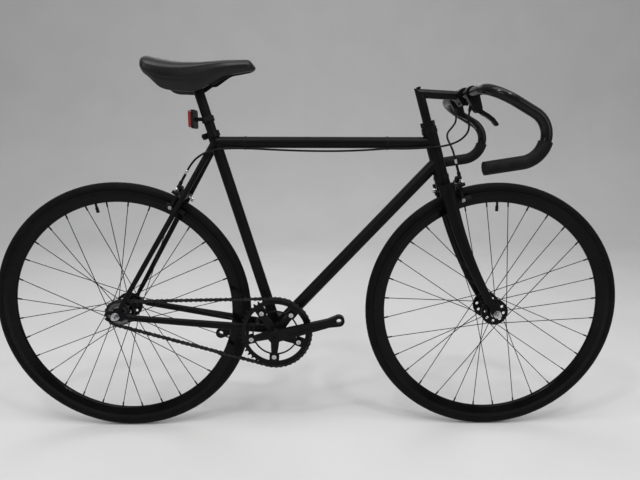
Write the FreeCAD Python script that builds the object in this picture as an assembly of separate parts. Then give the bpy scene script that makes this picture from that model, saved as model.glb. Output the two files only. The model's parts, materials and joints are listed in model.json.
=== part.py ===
import FreeCAD, Part
import math
import os

# A fixed gear bicycle, in millimetres.
# +X is forward, +Y is the rider's left and +Z is up.
# The origin is on the ground, midway between the two tyre contacts.

Vector = FreeCAD.Vector
X = Vector(1, 0, 0)
Y = Vector(0, 1, 0)
Z = Vector(0, 0, 1)

# Clearances
OVERRUN = 6.0
RUN_GAP = 0.05
SIDE_GAP = 0.3

# Layout of the whole bicycle
TYRE_TO_BB = 71.0
FRONT_TYRE_TO_BB = 235.8
BB_DROP = 53.0
HEAD_ANGLE = 73.0
SEAT_ANGLE = 73.3
FORK_RAKE = 40.0
TOP_TUBE_ABOVE_HEAD = 81.952
DOWN_TUBE_ABOVE_HEAD = 34.952
SEAT_TUBE_ABOVE_TOP_TUBE = 26.0

# Frame tubes
TUBE_WALL = 1.0
SEAT_TUBE_R = 14.3
TOP_TUBE_R = 14.3
DOWN_TUBE_R = 15.9
HEAD_TUBE_R = 18.0
HEAD_TUBE_WALL = 2.0
HEAD_TUBE_LENGTH = 110.0
BB_SHELL_R = 20.0
BB_SHELL_HALF = 34.0
BB_BORE_R = 17.4
SEAT_STAY_TOP_R = 7.5
SEAT_STAY_TOP_WALL = 2.0
SEAT_STAY_FOOT_R = 6.0
SEAT_STAY_TOP_Y = 19.0
SEAT_STAY_FOOT = 30.0
SEAT_STAY_CAP = 40.0
SEAT_STAY_HEEL = 26.0
SEAT_STAY_SEAM = 90.0
CHAIN_STAY_ROOT_Y = 20.0
CHAIN_STAY_ROOT_TALL = 11.5
CHAIN_STAY_ROOT_WIDE = 8.0
CHAIN_STAY_FOOT_TALL = 8.0
CHAIN_STAY_FOOT_WIDE = 6.5
CHAIN_STAY_FOOT = 34.0
CHAIN_STAY_BRIDGE = 52.0
CHAIN_STAY_BRIDGE_R = 5.0
BRAKE_BRIDGE_R = 7.0
BRAKE_BRIDGE_GAP = 14.0

# Rear track ends
DROPOUT_T = 6.0
DROPOUT_BODY_R = 13.0
DROPOUT_FRONT = 12.0
DROPOUT_REAR = 17.0
DROPOUT_TONGUE_R = 4.5
DROPOUT_TONGUE = 46.0
DROPOUT_NECK = 24.0
SLOT_GAP = 0.1

# Seat clamp
CLAMP_R = 17.5
CLAMP_HEIGHT = 14.0
CLAMP_EAR_OUT = 26.0
CLAMP_EAR_HALF = 8.0
CLAMP_SLIT_HALF = 1.0
CLAMP_BOLT_R = 3.0
CLAMP_BOLT_HEAD_R = 5.0
CLAMP_BOLT_HEAD = 5.0

# Bottom bracket and cranks
CUP_LIP_R = 20.5
CUP_LIP = 3.0
SPINDLE_R = 8.5
SPINDLE_ROUND_HALF = 40.0
SPINDLE_HALF = 66.0
SPINDLE_FLAT_HALF = 6.35
CRANK_LENGTH = 170.0
CRANK_ANGLE = 14.5
CRANK_INNER = 47.0
CRANK_ARM_INNER = 61.0
CRANK_OUTER = 75.0
CRANK_BOSS_R = 17.0
CRANK_ROOT_R = 15.0
CRANK_NECK_R = 10.5
CRANK_NECK_SHARE = 0.84
CRANK_EYE_R = 14.5
CRANK_FLUTE_R = 4.5
CRANK_FLUTE_DEPTH = 2.0
CRANK_FLUTE_SHARES = (0.22, 0.72)
PEDAL_BORE_R = 6.55
DUST_CAP_R = 11.0
DUST_CAP_T = 7.0
DUST_CAP_HEX_R = 4.5
DUST_CAP_HEX_DEPTH = 3.0
SPIDER_ARMS = 5
SPIDER_T = 5.5
SPIDER_ROOT_R = 13.0
SPIDER_TIP_R = 7.5
RING_BOLT_CIRCLE_R = 65.0
RING_BOLT_R = 4.0
RING_BOLT_HEAD_R = 6.0
RING_BOLT_HEAD = 2.0
RING_BOLT_HEX_R = 2.6

# Chain, chainring and cog
PITCH = 12.7
RING_TEETH = 46
COG_TEETH = 16
CHAIN_LINE = 43.0
ROLLER_R = 3.875
ROLLER_SEAT_GAP = 0.1
ROLLER_HALF = 1.65
SEAT_HALF_ANGLE = 75.0
TOOTH_RISE = 3.0
TOOTH_TIP_HALF = 0.9
SPROCKET_T = 3.0
PLATE_T = 1.0
PLATE_GAP = 0.1
PLATE_END_R = 4.2
PLATE_WAIST = 2.9
PLATE_BLEND_ANGLE = 60.0
CHAIN_PIN_R = 1.8
CHAIN_PIN_PROUD = 0.55
RING_BORE_R = 57.0
RING_SLOT_INNER_R = 60.5
RING_SLOT_OUTER_R = 78.5
RING_SLOT_MARGIN = 13.0
COG_SHOULDER_R = 22.0
COG_SHOULDER = 5.0
COG_THREAD_R = 17.4
LOCKRING_THREAD_R = 16.0
LOCKRING_R = 20.0
LOCKRING_T = 4.0
LOCKRING_NOTCHES = 6
LOCKRING_NOTCH_R = 2.2

# Tyres, tubes and rims
TYRE_R = 337.0
TYRE_SECTION_R = 12.5
TYRE_WALL = 2.2
TYRE_LIFT = 0.3
TYRE_HEIGHT = 20.5
BEAD_DEPTH = 5.5
BEAD_HALF = 8.4
BEAD_W = 3.2
TUBE_SECTION_R = 9.0
TUBE_SECTION_WALL = 1.0
TUBE_SINK = 1.0
VALVE_R = 3.0
VALVE_OUT = 23.0
VALVE_CAP_R = 4.0
VALVE_CAP = 14.0
RIM_DEPTH = 30.5
RIM_HALF_W = 11.0
RIM_TRACK = 11.0
RIM_WALL = 1.6
RIM_FLOOR = 2.0
RIM_NOSE_HALF = 5.0
RIM_NOSE_ROUND = 2.0
RIM_NOSE_WALL = 3.0
RIM_CAVITY_NOSE_HALF = 3.7
FRONT_VALVE_ANGLE = 0.0
REAR_VALVE_ANGLE = -11.25

# Spokes and hubs
SPOKES = 32
CROSSES = 3
SPOKE_R = 1.0
SPOKE_ELBOW_R = 2.5
SPOKE_HEAD_R = 1.8
SPOKE_HEAD = 1.0
SPOKE_HOLE_R = 1.2
NIPPLE_R = 2.0
NIPPLE_BELOW = 11.0
NIPPLE_HEAD_R = 2.9
NIPPLE_HEAD = 2.5
NIPPLE_LIFT = 0.8
NIPPLE_HOLE_GAP = 0.1
FLANGE_R = 35.0
FLANGE_HOLE_CIRCLE_R = 31.0
FLANGE_T = 3.5
FLANGE_ROOT_R = 18.0
FLANGE_FLARE = 8.0
FLANGE_WINDOWS = 8
FLANGE_WINDOW_R = 4.2
FLANGE_WINDOW_CIRCLE_R = 24.0
HUB_BARREL_R = 14.5
HUB_END_R = 16.0
HUB_SHOULDER_R = 20.0
HUB_CORE_R = 7.5
BEARING_R = 13.0
BEARING_W = 8.0
FRONT_FLANGE_Y = 34.0
REAR_FLANGE_Y = 31.0
FRONT_HUB_END = 41.0

# Axles and nuts
FRONT_OLD_HALF = 50.0
REAR_OLD_HALF = 60.0
FRONT_AXLE_R = 4.5
REAR_AXLE_R = 5.0
AXLE_COLLAR_R = 7.5
FRONT_AXLE_FREE = 4.0
REAR_AXLE_FREE = 8.0
AXLE_END_STEP = 0.3
NUT_FLAT_HALF = 7.5
NUT_T = 8.0
WASHER_R = 10.0
WASHER_T = 1.5

# Fork
FORK_TIP_T = 5.0
FORK_TIP_HUB_R = 12.0
FORK_TIP_NECK_R = 7.0
BLADE_SOCKET = 22.0
BLADE_FOOT_S = 26.0
BLADE_BEND_S = 290.0
BLADE_TOP_Y = 31.0
BLADE_TOP_DEEP = 18.0
BLADE_TOP_WIDE = 9.5
BLADE_FOOT_DEEP = 9.5
BLADE_FOOT_WIDE = 7.0
BLADE_WALL = 1.6
BLADE_SECTIONS = 7
CROWN_ABOVE_BRAKE = 21.0
CROWN_BELOW_BRAKE = 7.0
CROWN_SHOULDER = 10.0
CROWN_R = 14.0
CROWN_BOSS_R = 19.0
SOCKET_BELOW_CROWN = 12.0
SOCKET_WALL = 2.0
STEERER_R = 12.7
QUILL_R = 11.1

# Headset, from the crown race seat up
CROWN_RACE = 3.5
CROWN_RACE_R = 19.0
LOWER_STACK = 11.5
CUP_R = 19.8
CUP_INSERT = 8.0
UPPER_CUP = 8.0
TOP_RACE = 7.5
TOP_RACE_R = 19.0
LOCK_WASHER = 2.0
LOCK_WASHER_R = 17.0
LOCKNUT = 12.0
LOCKNUT_FLAT_HALF = 16.0
RACE_GAP = 0.1

# Stem and handlebar
STEM_CORNER_ABOVE_BAR = 6.0
STEM_R = 11.1
QUILL_BELOW = 75.0
WEDGE = 25.0
STEM_CLAMP_R = 18.0
STEM_CLAMP_HALF = 20.0
STEM_SLIT_HALF = 1.0
STEM_BOLT_R = 3.0
STEM_BOLT_HEAD_R = 4.5
STEM_EAR_R = 6.0
STEM_EAR_DROP = 19.0
EXPANDER_HEAD_R = 5.5
EXPANDER_HEAD = 5.0
EXPANDER_HEX_R = 3.2
BAR_AHEAD_OF_HEAD = 104.885
BAR_ABOVE_LOCKNUT = 62.452
BAR_R = 11.9
BAR_WALL = 1.8
BAR_SLEEVE_R = 12.7
BAR_SLEEVE_HALF = 32.0
BAR_HALF_WIDTH = 200.0
BAR_TOP_BEND_R = 65.0
BAR_RAMP = 110.0
BAR_RAMP_ANGLE = 29.5
BAR_DROP_R = 56.0
BAR_DROP_BARE_ANGLE = 72.0
BAR_LOWER_ANGLE = 8.8
BAR_LOWER = 79.0
GRIP_R = 15.0
GRIP_CAP = 4.0

# Brake levers, from the bar's centre
LEVER_Y = 70.0
LEVER_BAND_R = 15.5
LEVER_HALF = 8.0
LEVER_KNUCKLE_R = 10.0
LEVER_SLOT_R = 10.6
LEVER_SLOT_HALF = 3.3
LEVER_HUB_R = 7.5
LEVER_HUB_HALF = 3.0
LEVER_PIN_R = 2.5
LEVER_PIVOT_FORWARD = 16.0
LEVER_PIVOT_DOWN = 36.0
LEVER_REACH = 63.0
LEVER_TIP_DOWN = 72.0
LEVER_NECK_R = 5.0
LEVER_TIP_R = 4.0
LEVER_BLADE_HALF = 6.0
LEVER_BLADE_SHARES = ((0.27, 0.27), (0.52, 0.44), (0.80, 0.70), (1.0, 1.0))
CABLE_STOP_R = 4.2
CABLE_STOP = 22.0
CABLE_STOP_FORWARD = 2.0
CABLE_STOP_DOWN = 21.0
CABLE_STOP_INSET = 6.0
CABLE_STOP_LEAN = 30.0
CABLE_LEAD = 20.0

# Brake calipers, from the pivot bolt
ARM_T = 7.0
ARM_GAP = 0.3
ARM_BOSS_R = 9.0
ARM_SHOULDER_R = 7.0
ARM_FOOT_R = 6.5
ARM_SHOULDER_Y = 27.0
ARM_SHOULDER_Z = 0.0
ARM_ELBOW_Y = 31.0
ARM_ELBOW_Z = -18.0
ARM_FOOT_Y = 27.5
PAD_Z = -40.0
UPPER_LEVER_Z = 17.0
UPPER_LEVER_R = 5.5
LOWER_LEVER_Z = -3.0
LOWER_LEVER_R = 5.0
CABLE_Y = 25.0
PAD_FACE_Y = 13.3
PAD_T = 7.5
PAD_HALF_LENGTH = 25.0
PAD_HALF_HEIGHT = 5.0
PAD_STUD_R = 2.5
PAD_NUT_R = 4.5
PAD_NUT = 4.0
FRONT_ARM_OFFSET = 28.0
REAR_ARM_OFFSET = 12.0
FRONT_BOLT_TAIL = 24.0
REAR_BOLT_TAIL = 15.0
FRONT_PAD_SHIFT = 0.0
REAR_PAD_SHIFT = -10.0
BRAKE_BOLT_R = 3.0
BRAKE_NUT_R = 6.0
BRAKE_NUT = 6.0
ADJUSTER_R = 3.2
ADJUSTER_BORE_R = 1.6
ADJUSTER_TOP_Z = 52.0
ADJUSTER_KNOB_R = 4.6
ADJUSTER_KNOB = 8.0
WIRE_R = 0.8
WIRE_TAIL = 14.0
WIRE_HOLE_R = 2.2
ANCHOR_R = 4.5
ANCHOR = 5.0

# Cables
HOUSING_R = 2.5
FERRULE_R = 3.4
FERRULE = 11.0
FERRULE_BORE_R = 1.6
FERRULE_LEAD = 33.0
ARC_SHARE = 0.45
CLIP_T = 1.0
CLIP_HALF = 2.0
CLIP_XS = (200.0, -157.0)
CLIP_CABLE_Y = -8.0
CLIP_CABLE_DROP = 14.8
FRONT_HOUSING_ROUTE = (
    (374.0, 38.0, 814.0), (358.0, 23.0, 800.0), (353.0, 6.0, 786.0), (357.0, -11.0, 770.0))
REAR_HOUSING_FRONT_ROUTE = (
    (394.0, -42.0, 810.0), (389.0, -36.0, 792.0), (370.0, -29.5, 775.0), (336.0, -24.5, 764.5))
REAR_HOUSING_ROUTE = (
    (290.0, -18.5, 760.8), (245.0, -12.0, 758.6), (200.0, -8.0, 759.2), (148.0, -8.4, 755.4),
    (93.0, -8.0, 753.0), (30.0, -8.2, 752.6), (-38.0, -8.0, 753.9), (-100.0, -8.3, 756.6),
    (-157.0, -8.0, 759.2), (-197.0, -18.0, 759.0), (-230.0, -33.0, 756.0), (-262.0, -33.0, 745.0))

# Seat
SEATPOST_R = 12.7
SEATPOST_WALL = 2.2
SEATPOST_BELOW = 120.0
SEATPOST_OUT = 102.0
RAIL_R = 3.5
RAIL_ABOVE_POST = 11.0
CRADLE_R = 13.0
CRADLE_HALF = 29.0
CRADLE_GAP = 0.6
CRADLE_BOLT_R = 4.0
CRADLE_BOLT_HEAD_R = 6.0
CRADLE_BOLT_HEAD = 4.0
SADDLE_NOSE_AHEAD = 143.336
SADDLE_LENGTH = 261.0
SADDLE_HALF_W = 70.0
SADDLE_ABOVE_RAIL = 69.0
SADDLE_DEPTH = 93.0
SADDLE_PAD = 17.0
SADDLE_SKIRT = 7.0
SADDLE_BOTTOM_SHARE = 0.86
SADDLE_BULGE_SHARE = 0.05
SADDLE_CROWN_SHARE = 0.28
SADDLE_STATION_SHARES = (
    (0.00, 0.13, 0.785, 0.574), (0.04, 0.23, 0.880, 0.574), (0.13, 0.29, 0.890, 0.535),
    (0.27, 0.33, 0.880, 0.450), (0.40, 0.43, 0.852, 0.249), (0.53, 0.60, 0.832, 0.057),
    (0.68, 0.82, 0.842, 0.060), (0.82, 0.97, 0.898, 0.160), (0.93, 1.00, 0.973, 0.440),
    (1.00, 0.92, 0.995, 0.590))
RAIL_SHARES = (
    (0.12, 0.14, 0.632), (0.25, 0.16, 0.478), (0.38, 0.31, 0.258), (0.72, 0.31, 0.258),
    (0.86, 0.34, 0.440), (0.92, 0.36, 0.632))
RAIL_BEND_R = 14.0

# Reflector
REFLECTOR_ABOVE_SEAT_TUBE = 30.0
REFLECTOR_BAND_R = 16.0
REFLECTOR_BAND = 13.0
REFLECTOR_ARM_HALF = 4.0
REFLECTOR_KNUCKLE_OUT = 24.0
REFLECTOR_KNUCKLE_R = 4.5
REFLECTOR_EAR = 4.0
REFLECTOR_PIN_R = 1.6
REFLECTOR_BACK_OUT = 30.0
REFLECTOR_BACK = 7.0
REFLECTOR_LENS = 7.0
REFLECTOR_HALF_W = 24.0
REFLECTOR_HALF_H = 22.5
REFLECTOR_CORNER_R = 7.0
REFLECTOR_RIM = 2.0


# Worked out from the sizes above
def pitch_radius(teeth):
    return PITCH / (2 * math.sin(math.pi / teeth))


def odd_count(value):
    return 2 * int(math.floor(value / 2)) + 1


CHAIN_STAY_WISH = TYRE_R + TYRE_TO_BB
WHEELBASE = CHAIN_STAY_WISH + TYRE_R + FRONT_TYRE_TO_BB
RING_PITCH_R = pitch_radius(RING_TEETH)
COG_PITCH_R = pitch_radius(COG_TEETH)
SPAN_SLOPE = math.asin((RING_PITCH_R - COG_PITCH_R) / CHAIN_STAY_WISH) / math.pi
RING_STEPS = odd_count(RING_TEETH * (1 / 2 + SPAN_SLOPE))
COG_STEPS = odd_count(COG_TEETH * (1 / 2 - SPAN_SLOPE))
RING_END = math.pi * RING_STEPS / RING_TEETH
COG_END = math.pi * COG_STEPS / COG_TEETH
SPAN_RISE = RING_PITCH_R * math.sin(RING_END) - COG_PITCH_R * math.sin(COG_END)
SPAN_SHIFT = -RING_PITCH_R * math.cos(RING_END) - COG_PITCH_R * math.cos(COG_END)
SPAN_LINKS = round(math.hypot(CHAIN_STAY_WISH - SPAN_SHIFT, SPAN_RISE) / PITCH)
CHAIN_STAY = math.sqrt((SPAN_LINKS * PITCH) ** 2 - SPAN_RISE ** 2) + SPAN_SHIFT

RIM_EDGE_R = TYRE_R - TYRE_HEIGHT
RIM_NOSE_R = RIM_EDGE_R - RIM_DEPTH
BEAD_R = RIM_EDGE_R - BEAD_DEPTH
VALVE_END_R = RIM_NOSE_R - VALVE_OUT
BRAKE_BRIDGE_RADIUS = TYRE_R + BRAKE_BRIDGE_GAP
CROWN_TOP_S = BRAKE_BRIDGE_RADIUS + CROWN_ABOVE_BRAKE
CROWN_SHOULDER_S = CROWN_TOP_S - CROWN_SHOULDER
CROWN_LOW_S = BRAKE_BRIDGE_RADIUS - CROWN_BELOW_BRAKE
SOCKET_LOW_S = CROWN_LOW_S - SOCKET_BELOW_CROWN
BLADE_TOP_S = SOCKET_LOW_S + BLADE_SOCKET

FRONT_HUB = Vector(WHEELBASE / 2, 0, TYRE_R)
REAR_HUB = Vector(-WHEELBASE / 2, 0, TYRE_R)
BB = REAR_HUB + Vector(math.sqrt(CHAIN_STAY ** 2 - BB_DROP ** 2), 0, -BB_DROP)
HEAD_LEAN = 90 - HEAD_ANGLE
SEAT_LEAN = 90 - SEAT_ANGLE
HEAD_TURN = FreeCAD.Rotation(Y, -HEAD_LEAN)
STEER_FOOT = FRONT_HUB - HEAD_TURN.multVec(X) * FORK_RAKE
STEER = FreeCAD.Placement(STEER_FOOT, HEAD_TURN)
SEAT = FreeCAD.Placement(BB, FreeCAD.Rotation(Y, -SEAT_LEAN))
SEAT_COS = math.cos(math.radians(SEAT_LEAN))

HEAD_LOW_S = CROWN_TOP_S + LOWER_STACK
HEAD_TOP_S = HEAD_LOW_S + HEAD_TUBE_LENGTH
UPPER_CUP_S = HEAD_TOP_S + UPPER_CUP
TOP_RACE_S = UPPER_CUP_S + RACE_GAP
LOCK_WASHER_S = TOP_RACE_S + TOP_RACE
LOCKNUT_S = LOCK_WASHER_S + LOCK_WASHER
LOCKNUT_TOP_S = LOCKNUT_S + LOCKNUT
HEAD_LOW = STEER.multVec(Z * HEAD_LOW_S)
TOP_TUBE_Z = HEAD_LOW.z + TOP_TUBE_ABOVE_HEAD
DOWN_TUBE_HEAD_Z = HEAD_LOW.z + DOWN_TUBE_ABOVE_HEAD
SEAT_TUBE_TOP_Z = TOP_TUBE_Z + SEAT_TUBE_ABOVE_TOP_TUBE
SEATPOST_TOP_Z = SEAT_TUBE_TOP_Z + SEATPOST_OUT
RAIL_Z = SEATPOST_TOP_Z + RAIL_ABOVE_POST
SADDLE_TOP_Z = RAIL_Z + SADDLE_ABOVE_RAIL
REFLECTOR_Z = SEAT_TUBE_TOP_Z + REFLECTOR_ABOVE_SEAT_TUBE
BAR_Z = STEER.multVec(Z * LOCKNUT_TOP_S).z + BAR_ABOVE_LOCKNUT
STEM_CORNER_Z = BAR_Z + STEM_CORNER_ABOVE_BAR
CLIP_CABLE_Z = TOP_TUBE_Z - CLIP_CABLE_DROP


def seat_axis(height):
    return SEAT.multVec(Vector(0, 0, (height - BB.z) / SEAT_COS))


def head_axis(height):
    lean = math.cos(math.radians(HEAD_LEAN))
    return STEER.multVec(Vector(0, 0, (height - STEER_FOOT.z) / lean))


BAR_X = head_axis(BAR_Z).x + BAR_AHEAD_OF_HEAD
SADDLE_NOSE_X = seat_axis(RAIL_Z).x + SADDLE_NOSE_AHEAD
CLUSTER = seat_axis(TOP_TUBE_Z)
STAY_WAY = (CLUSTER - REAR_HUB).normalize()
CHAIN_STAY_WAY = (BB - REAR_HUB).normalize()
DROPOUT_Y = REAR_OLD_HALF + DROPOUT_T / 2
BRIDGE = REAR_HUB + STAY_WAY * BRAKE_BRIDGE_RADIUS
REAR_BRAKE = FreeCAD.Placement(BRIDGE, FreeCAD.Rotation(STAY_WAY.cross(Y), -Y, STAY_WAY, "ZXY"))
FRONT_BRAKE = STEER.multiply(FreeCAD.Placement(Vector(0, 0, BRAKE_BRIDGE_RADIUS), FreeCAD.Rotation()))

NODES = {}


# General shapes
def keep(node, *shapes):
    NODES.setdefault(node, []).extend(shapes)


def moved(shape, placement):
    copy = shape.copy()
    copy.Placement = placement.multiply(copy.Placement)
    return copy


def mirrored(shape):
    return shape.mirror(Vector(0, 0, 0), Y)


def rod(start, end, radius):
    return Part.makeCylinder(radius, (end - start).Length, start, end - start)


def cone(start, end, start_r, end_r):
    return Part.makeCone(start_r, end_r, (end - start).Length, start, end - start)


def pipe(start, end, outer_r, inner_r):
    return rod(start, end, outer_r).cut(long_rod(start, end, inner_r))


def long_rod(start, end, radius):
    way = (end - start).normalize() * OVERRUN
    return rod(start - way, end + way, radius)


def ring(axis_low, axis_high, outer_r, inner_r):
    return pipe(Vector(0, axis_low, 0), Vector(0, axis_high, 0), outer_r, inner_r)


def collar(low, high, outer_r, inner_r):
    return pipe(Vector(0, 0, low), Vector(0, 0, high), outer_r, inner_r)


def block(low, high):
    size = high - low
    return Part.makeBox(size.x, size.y, size.z, low)


def joined(shapes):
    whole = shapes[0].multiFuse(shapes[1:]) if len(shapes) > 1 else shapes[0]
    return whole.removeSplitter().Solids[0]


def single(shape):
    return shape.Solids[0]


def closed_wire(points):
    return Part.makePolygon(list(points) + [points[0]])


def spun(points):
    profile = [Vector(r, y, 0) for r, y in points]
    return single(Part.Face(closed_wire(profile)).revolve(Vector(0, 0, 0), Y, 360))


def hexagon(low, high, flat_half):
    corner = flat_half / math.cos(math.pi / 6)
    turns = [k * math.pi / 3 for k in range(6)]
    points = [Vector(corner * math.cos(a), 0, corner * math.sin(a)) for a in turns]
    face = Part.Face(closed_wire([p + Vector(0, low, 0) for p in points]))
    return face.extrude(Vector(0, high - low, 0))


def capsule(first, first_r, second, second_r, depth):
    # Plate with two round ends of their own radii and straight tangent sides
    along = (second - first).normalize()
    across = Vector(depth).normalize().cross(along)
    lean = (first_r - second_r) / (second - first).Length
    side = math.sqrt(1 - lean ** 2)
    a_left = first + (along * lean + across * side) * first_r
    a_right = first + (along * lean - across * side) * first_r
    b_left = second + (along * lean + across * side) * second_r
    b_right = second + (along * lean - across * side) * second_r
    edges = [
        Part.LineSegment(a_left, b_left).toShape(),
        Part.Arc(b_left, second + along * second_r, b_right).toShape(),
        Part.LineSegment(b_right, a_right).toShape(),
        Part.Arc(a_right, first - along * first_r, a_left).toShape(),
    ]
    return Part.Face(Part.Wire(edges)).extrude(depth)


def limb(stops, depth):
    # Chain of capsules through (point, radius) stops
    pairs = zip(stops[:-1], stops[1:])
    return joined([capsule(a, ra, b, rb, depth) for (a, ra), (b, rb) in pairs])


def rounded_edges(points, radii):
    # Straight runs joined by tangent arcs at the inner points
    edges = []
    last = points[0]
    for before, corner, after, radius in zip(points[:-2], points[1:-1], points[2:], radii):
        into = (corner - before).normalize()
        out = (after - corner).normalize()
        half_turn = into.getAngle(out) / 2
        reach = radius * math.tan(half_turn)
        inward = (out - into).normalize()
        start = corner - into * reach
        middle = corner + inward * (radius / math.cos(half_turn) - radius)
        end = corner + out * reach
        edges.append(Part.LineSegment(last, start).toShape())
        edges.append(Part.Arc(start, middle, end).toShape())
        last = end
    edges.append(Part.LineSegment(last, points[-1]).toShape())
    return edges


def swept(edges, outer_r, inner_r=0):
    path = Part.Wire(edges)
    first = edges[0]
    start = first.valueAt(first.FirstParameter)
    way = first.tangentAt(first.FirstParameter)
    wires = [Part.Wire(Part.makeCircle(outer_r, start, way))]
    if inner_r:
        wires.append(Part.Wire(Part.makeCircle(inner_r, start, way)))
    return single(path.makePipe(Part.Face(wires)))


def soft_route(points):
    # Each arc as large as the two runs beside it allow
    radii = []
    for before, corner, after in zip(points[:-2], points[1:-1], points[2:]):
        turn = (corner - before).getAngle(after - corner)
        shorter = min((corner - before).Length, (after - corner).Length)
        radii.append(ARC_SHARE * shorter / math.tan(turn / 2))
    return rounded_edges(points, radii), radii


def ellipse(centre, long_end, short_end):
    return Part.Wire(Part.Ellipse(centre + long_end, centre + short_end, centre).toShape())


# Frame
def frame_tubes():
    seat_top = seat_axis(SEAT_TUBE_TOP_Z)
    head_low = STEER.multVec(Vector(0, 0, HEAD_LOW_S))
    head_top = STEER.multVec(Vector(0, 0, HEAD_TOP_S))
    down_end = head_axis(DOWN_TUBE_HEAD_Z)
    shell_ends = (BB - Y * BB_SHELL_HALF, BB + Y * BB_SHELL_HALF)
    shell = rod(*shell_ends, BB_SHELL_R)
    head = rod(head_low, head_top, HEAD_TUBE_R)
    seat = rod(BB, seat_top, SEAT_TUBE_R)
    keep("bottom_bracket_shell", pipe(*shell_ends, BB_SHELL_R, BB_BORE_R))
    keep("head_tube", pipe(head_low, head_top, HEAD_TUBE_R, HEAD_TUBE_R - HEAD_TUBE_WALL))
    keep("seat_tube", single(pipe(BB, seat_top, SEAT_TUBE_R, SEATPOST_R + RUN_GAP).cut(shell)))
    top = pipe(CLUSTER, head_axis(TOP_TUBE_Z), TOP_TUBE_R, TOP_TUBE_R - TUBE_WALL)
    keep("top_tube", largest(top.cut([seat, head])))
    down = pipe(BB, down_end, DOWN_TUBE_R, DOWN_TUBE_R - TUBE_WALL)
    keep("down_tube", largest(down.cut([shell, seat, head])))
    return shell, seat


def largest(shape):
    return max(shape.Solids, key=lambda solid: solid.Volume)


def dropout():
    hub = REAR_HUB + Y * REAR_OLD_HALF
    depth = Y * DROPOUT_T
    body = capsule(hub - X * DROPOUT_REAR, DROPOUT_BODY_R, hub + X * DROPOUT_FRONT, DROPOUT_BODY_R, depth)
    up, forward = [limb([(hub, DROPOUT_BODY_R), (hub + way * DROPOUT_NECK, DROPOUT_TONGUE_R),
                         (hub + way * DROPOUT_TONGUE, DROPOUT_TONGUE_R)], depth)
                   for way in (STAY_WAY, CHAIN_STAY_WAY)]
    slot_r = REAR_AXLE_R + SLOT_GAP
    past = hub - X * (DROPOUT_REAR + DROPOUT_BODY_R + slot_r + OVERRUN)
    slot = capsule(past - Y * OVERRUN, slot_r, hub - Y * OVERRUN, slot_r, Y * (DROPOUT_T + 2 * OVERRUN))
    return single(joined([body, up, forward]).cut(slot))


def stays(shell, seat):
    plate = dropout()
    hub_y = Y * DROPOUT_Y
    top = CLUSTER + Y * SEAT_STAY_TOP_Y
    foot = REAR_HUB + STAY_WAY * SEAT_STAY_FOOT + hub_y
    way = (foot - top).normalize()
    outer = cone(top, foot, SEAT_STAY_TOP_R, SEAT_STAY_FOOT_R)
    outer.rotate(top, way, SEAT_STAY_SEAM)
    inner = cone(top + way * SEAT_STAY_CAP, foot - way * SEAT_STAY_HEEL,
                 SEAT_STAY_TOP_R - SEAT_STAY_TOP_WALL, SEAT_STAY_FOOT_R - TUBE_WALL)
    top_tube = rod(CLUSTER, head_axis(TOP_TUBE_Z), TOP_TUBE_R)
    slot_side = STAY_WAY.cross(Y) * SEAT_STAY_TOP_R
    slot_top = REAR_HUB + STAY_WAY * (DROPOUT_TONGUE + DROPOUT_TONGUE_R) + Y * REAR_OLD_HALF
    slot_foot = REAR_HUB + Y * REAR_OLD_HALF
    slot_face = Part.Face(closed_wire([slot_foot - slot_side, slot_foot + slot_side,
                                       slot_top + slot_side, slot_top - slot_side]))
    seat_stay = largest(outer.cut([inner, seat, top_tube, slot_face.extrude(Y * DROPOUT_T)]))

    root = BB + Y * CHAIN_STAY_ROOT_Y
    heel = REAR_HUB + CHAIN_STAY_WAY * CHAIN_STAY_FOOT + hub_y
    upright = CHAIN_STAY_WAY.cross(Y) * -1
    stay_sections = []
    for wall in (0, TUBE_WALL):
        ends = [
            ellipse(root, upright * (CHAIN_STAY_ROOT_TALL - wall), Y * (CHAIN_STAY_ROOT_WIDE - wall)),
            ellipse(heel, upright * (CHAIN_STAY_FOOT_TALL - wall), Y * (CHAIN_STAY_FOOT_WIDE - wall))]
        stay_sections.append(Part.makeLoft(ends, True, True))
    chain_solid, chain_core = stay_sections
    chain_stay = largest(chain_solid.cut([chain_core, shell, seat, plate]))

    reach = Y * DROPOUT_Y
    brake_bar = rod(BRIDGE - reach, BRIDGE + reach, BRAKE_BRIDGE_R)
    bolt = REAR_BRAKE.multVec(X * OVERRUN * 2)
    hole = rod(BRIDGE - (bolt - BRIDGE), bolt, BRAKE_BOLT_R)
    brake_bridge = inner_piece(brake_bar.cut([outer, mirrored(outer), hole]))
    low = BB - CHAIN_STAY_WAY * CHAIN_STAY_BRIDGE
    stay_bar = rod(low - reach, low + reach, CHAIN_STAY_BRIDGE_R)
    stay_bridge = inner_piece(stay_bar.cut([chain_solid, mirrored(chain_solid)]))
    keep("rear_dropouts", plate, mirrored(plate))
    keep("seat_stays", seat_stay, mirrored(seat_stay), brake_bridge)
    keep("chain_stays", chain_stay, mirrored(chain_stay), stay_bridge)


def inner_piece(shape):
    return min(shape.Solids, key=lambda solid: abs(solid.CenterOfMass.y))


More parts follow.
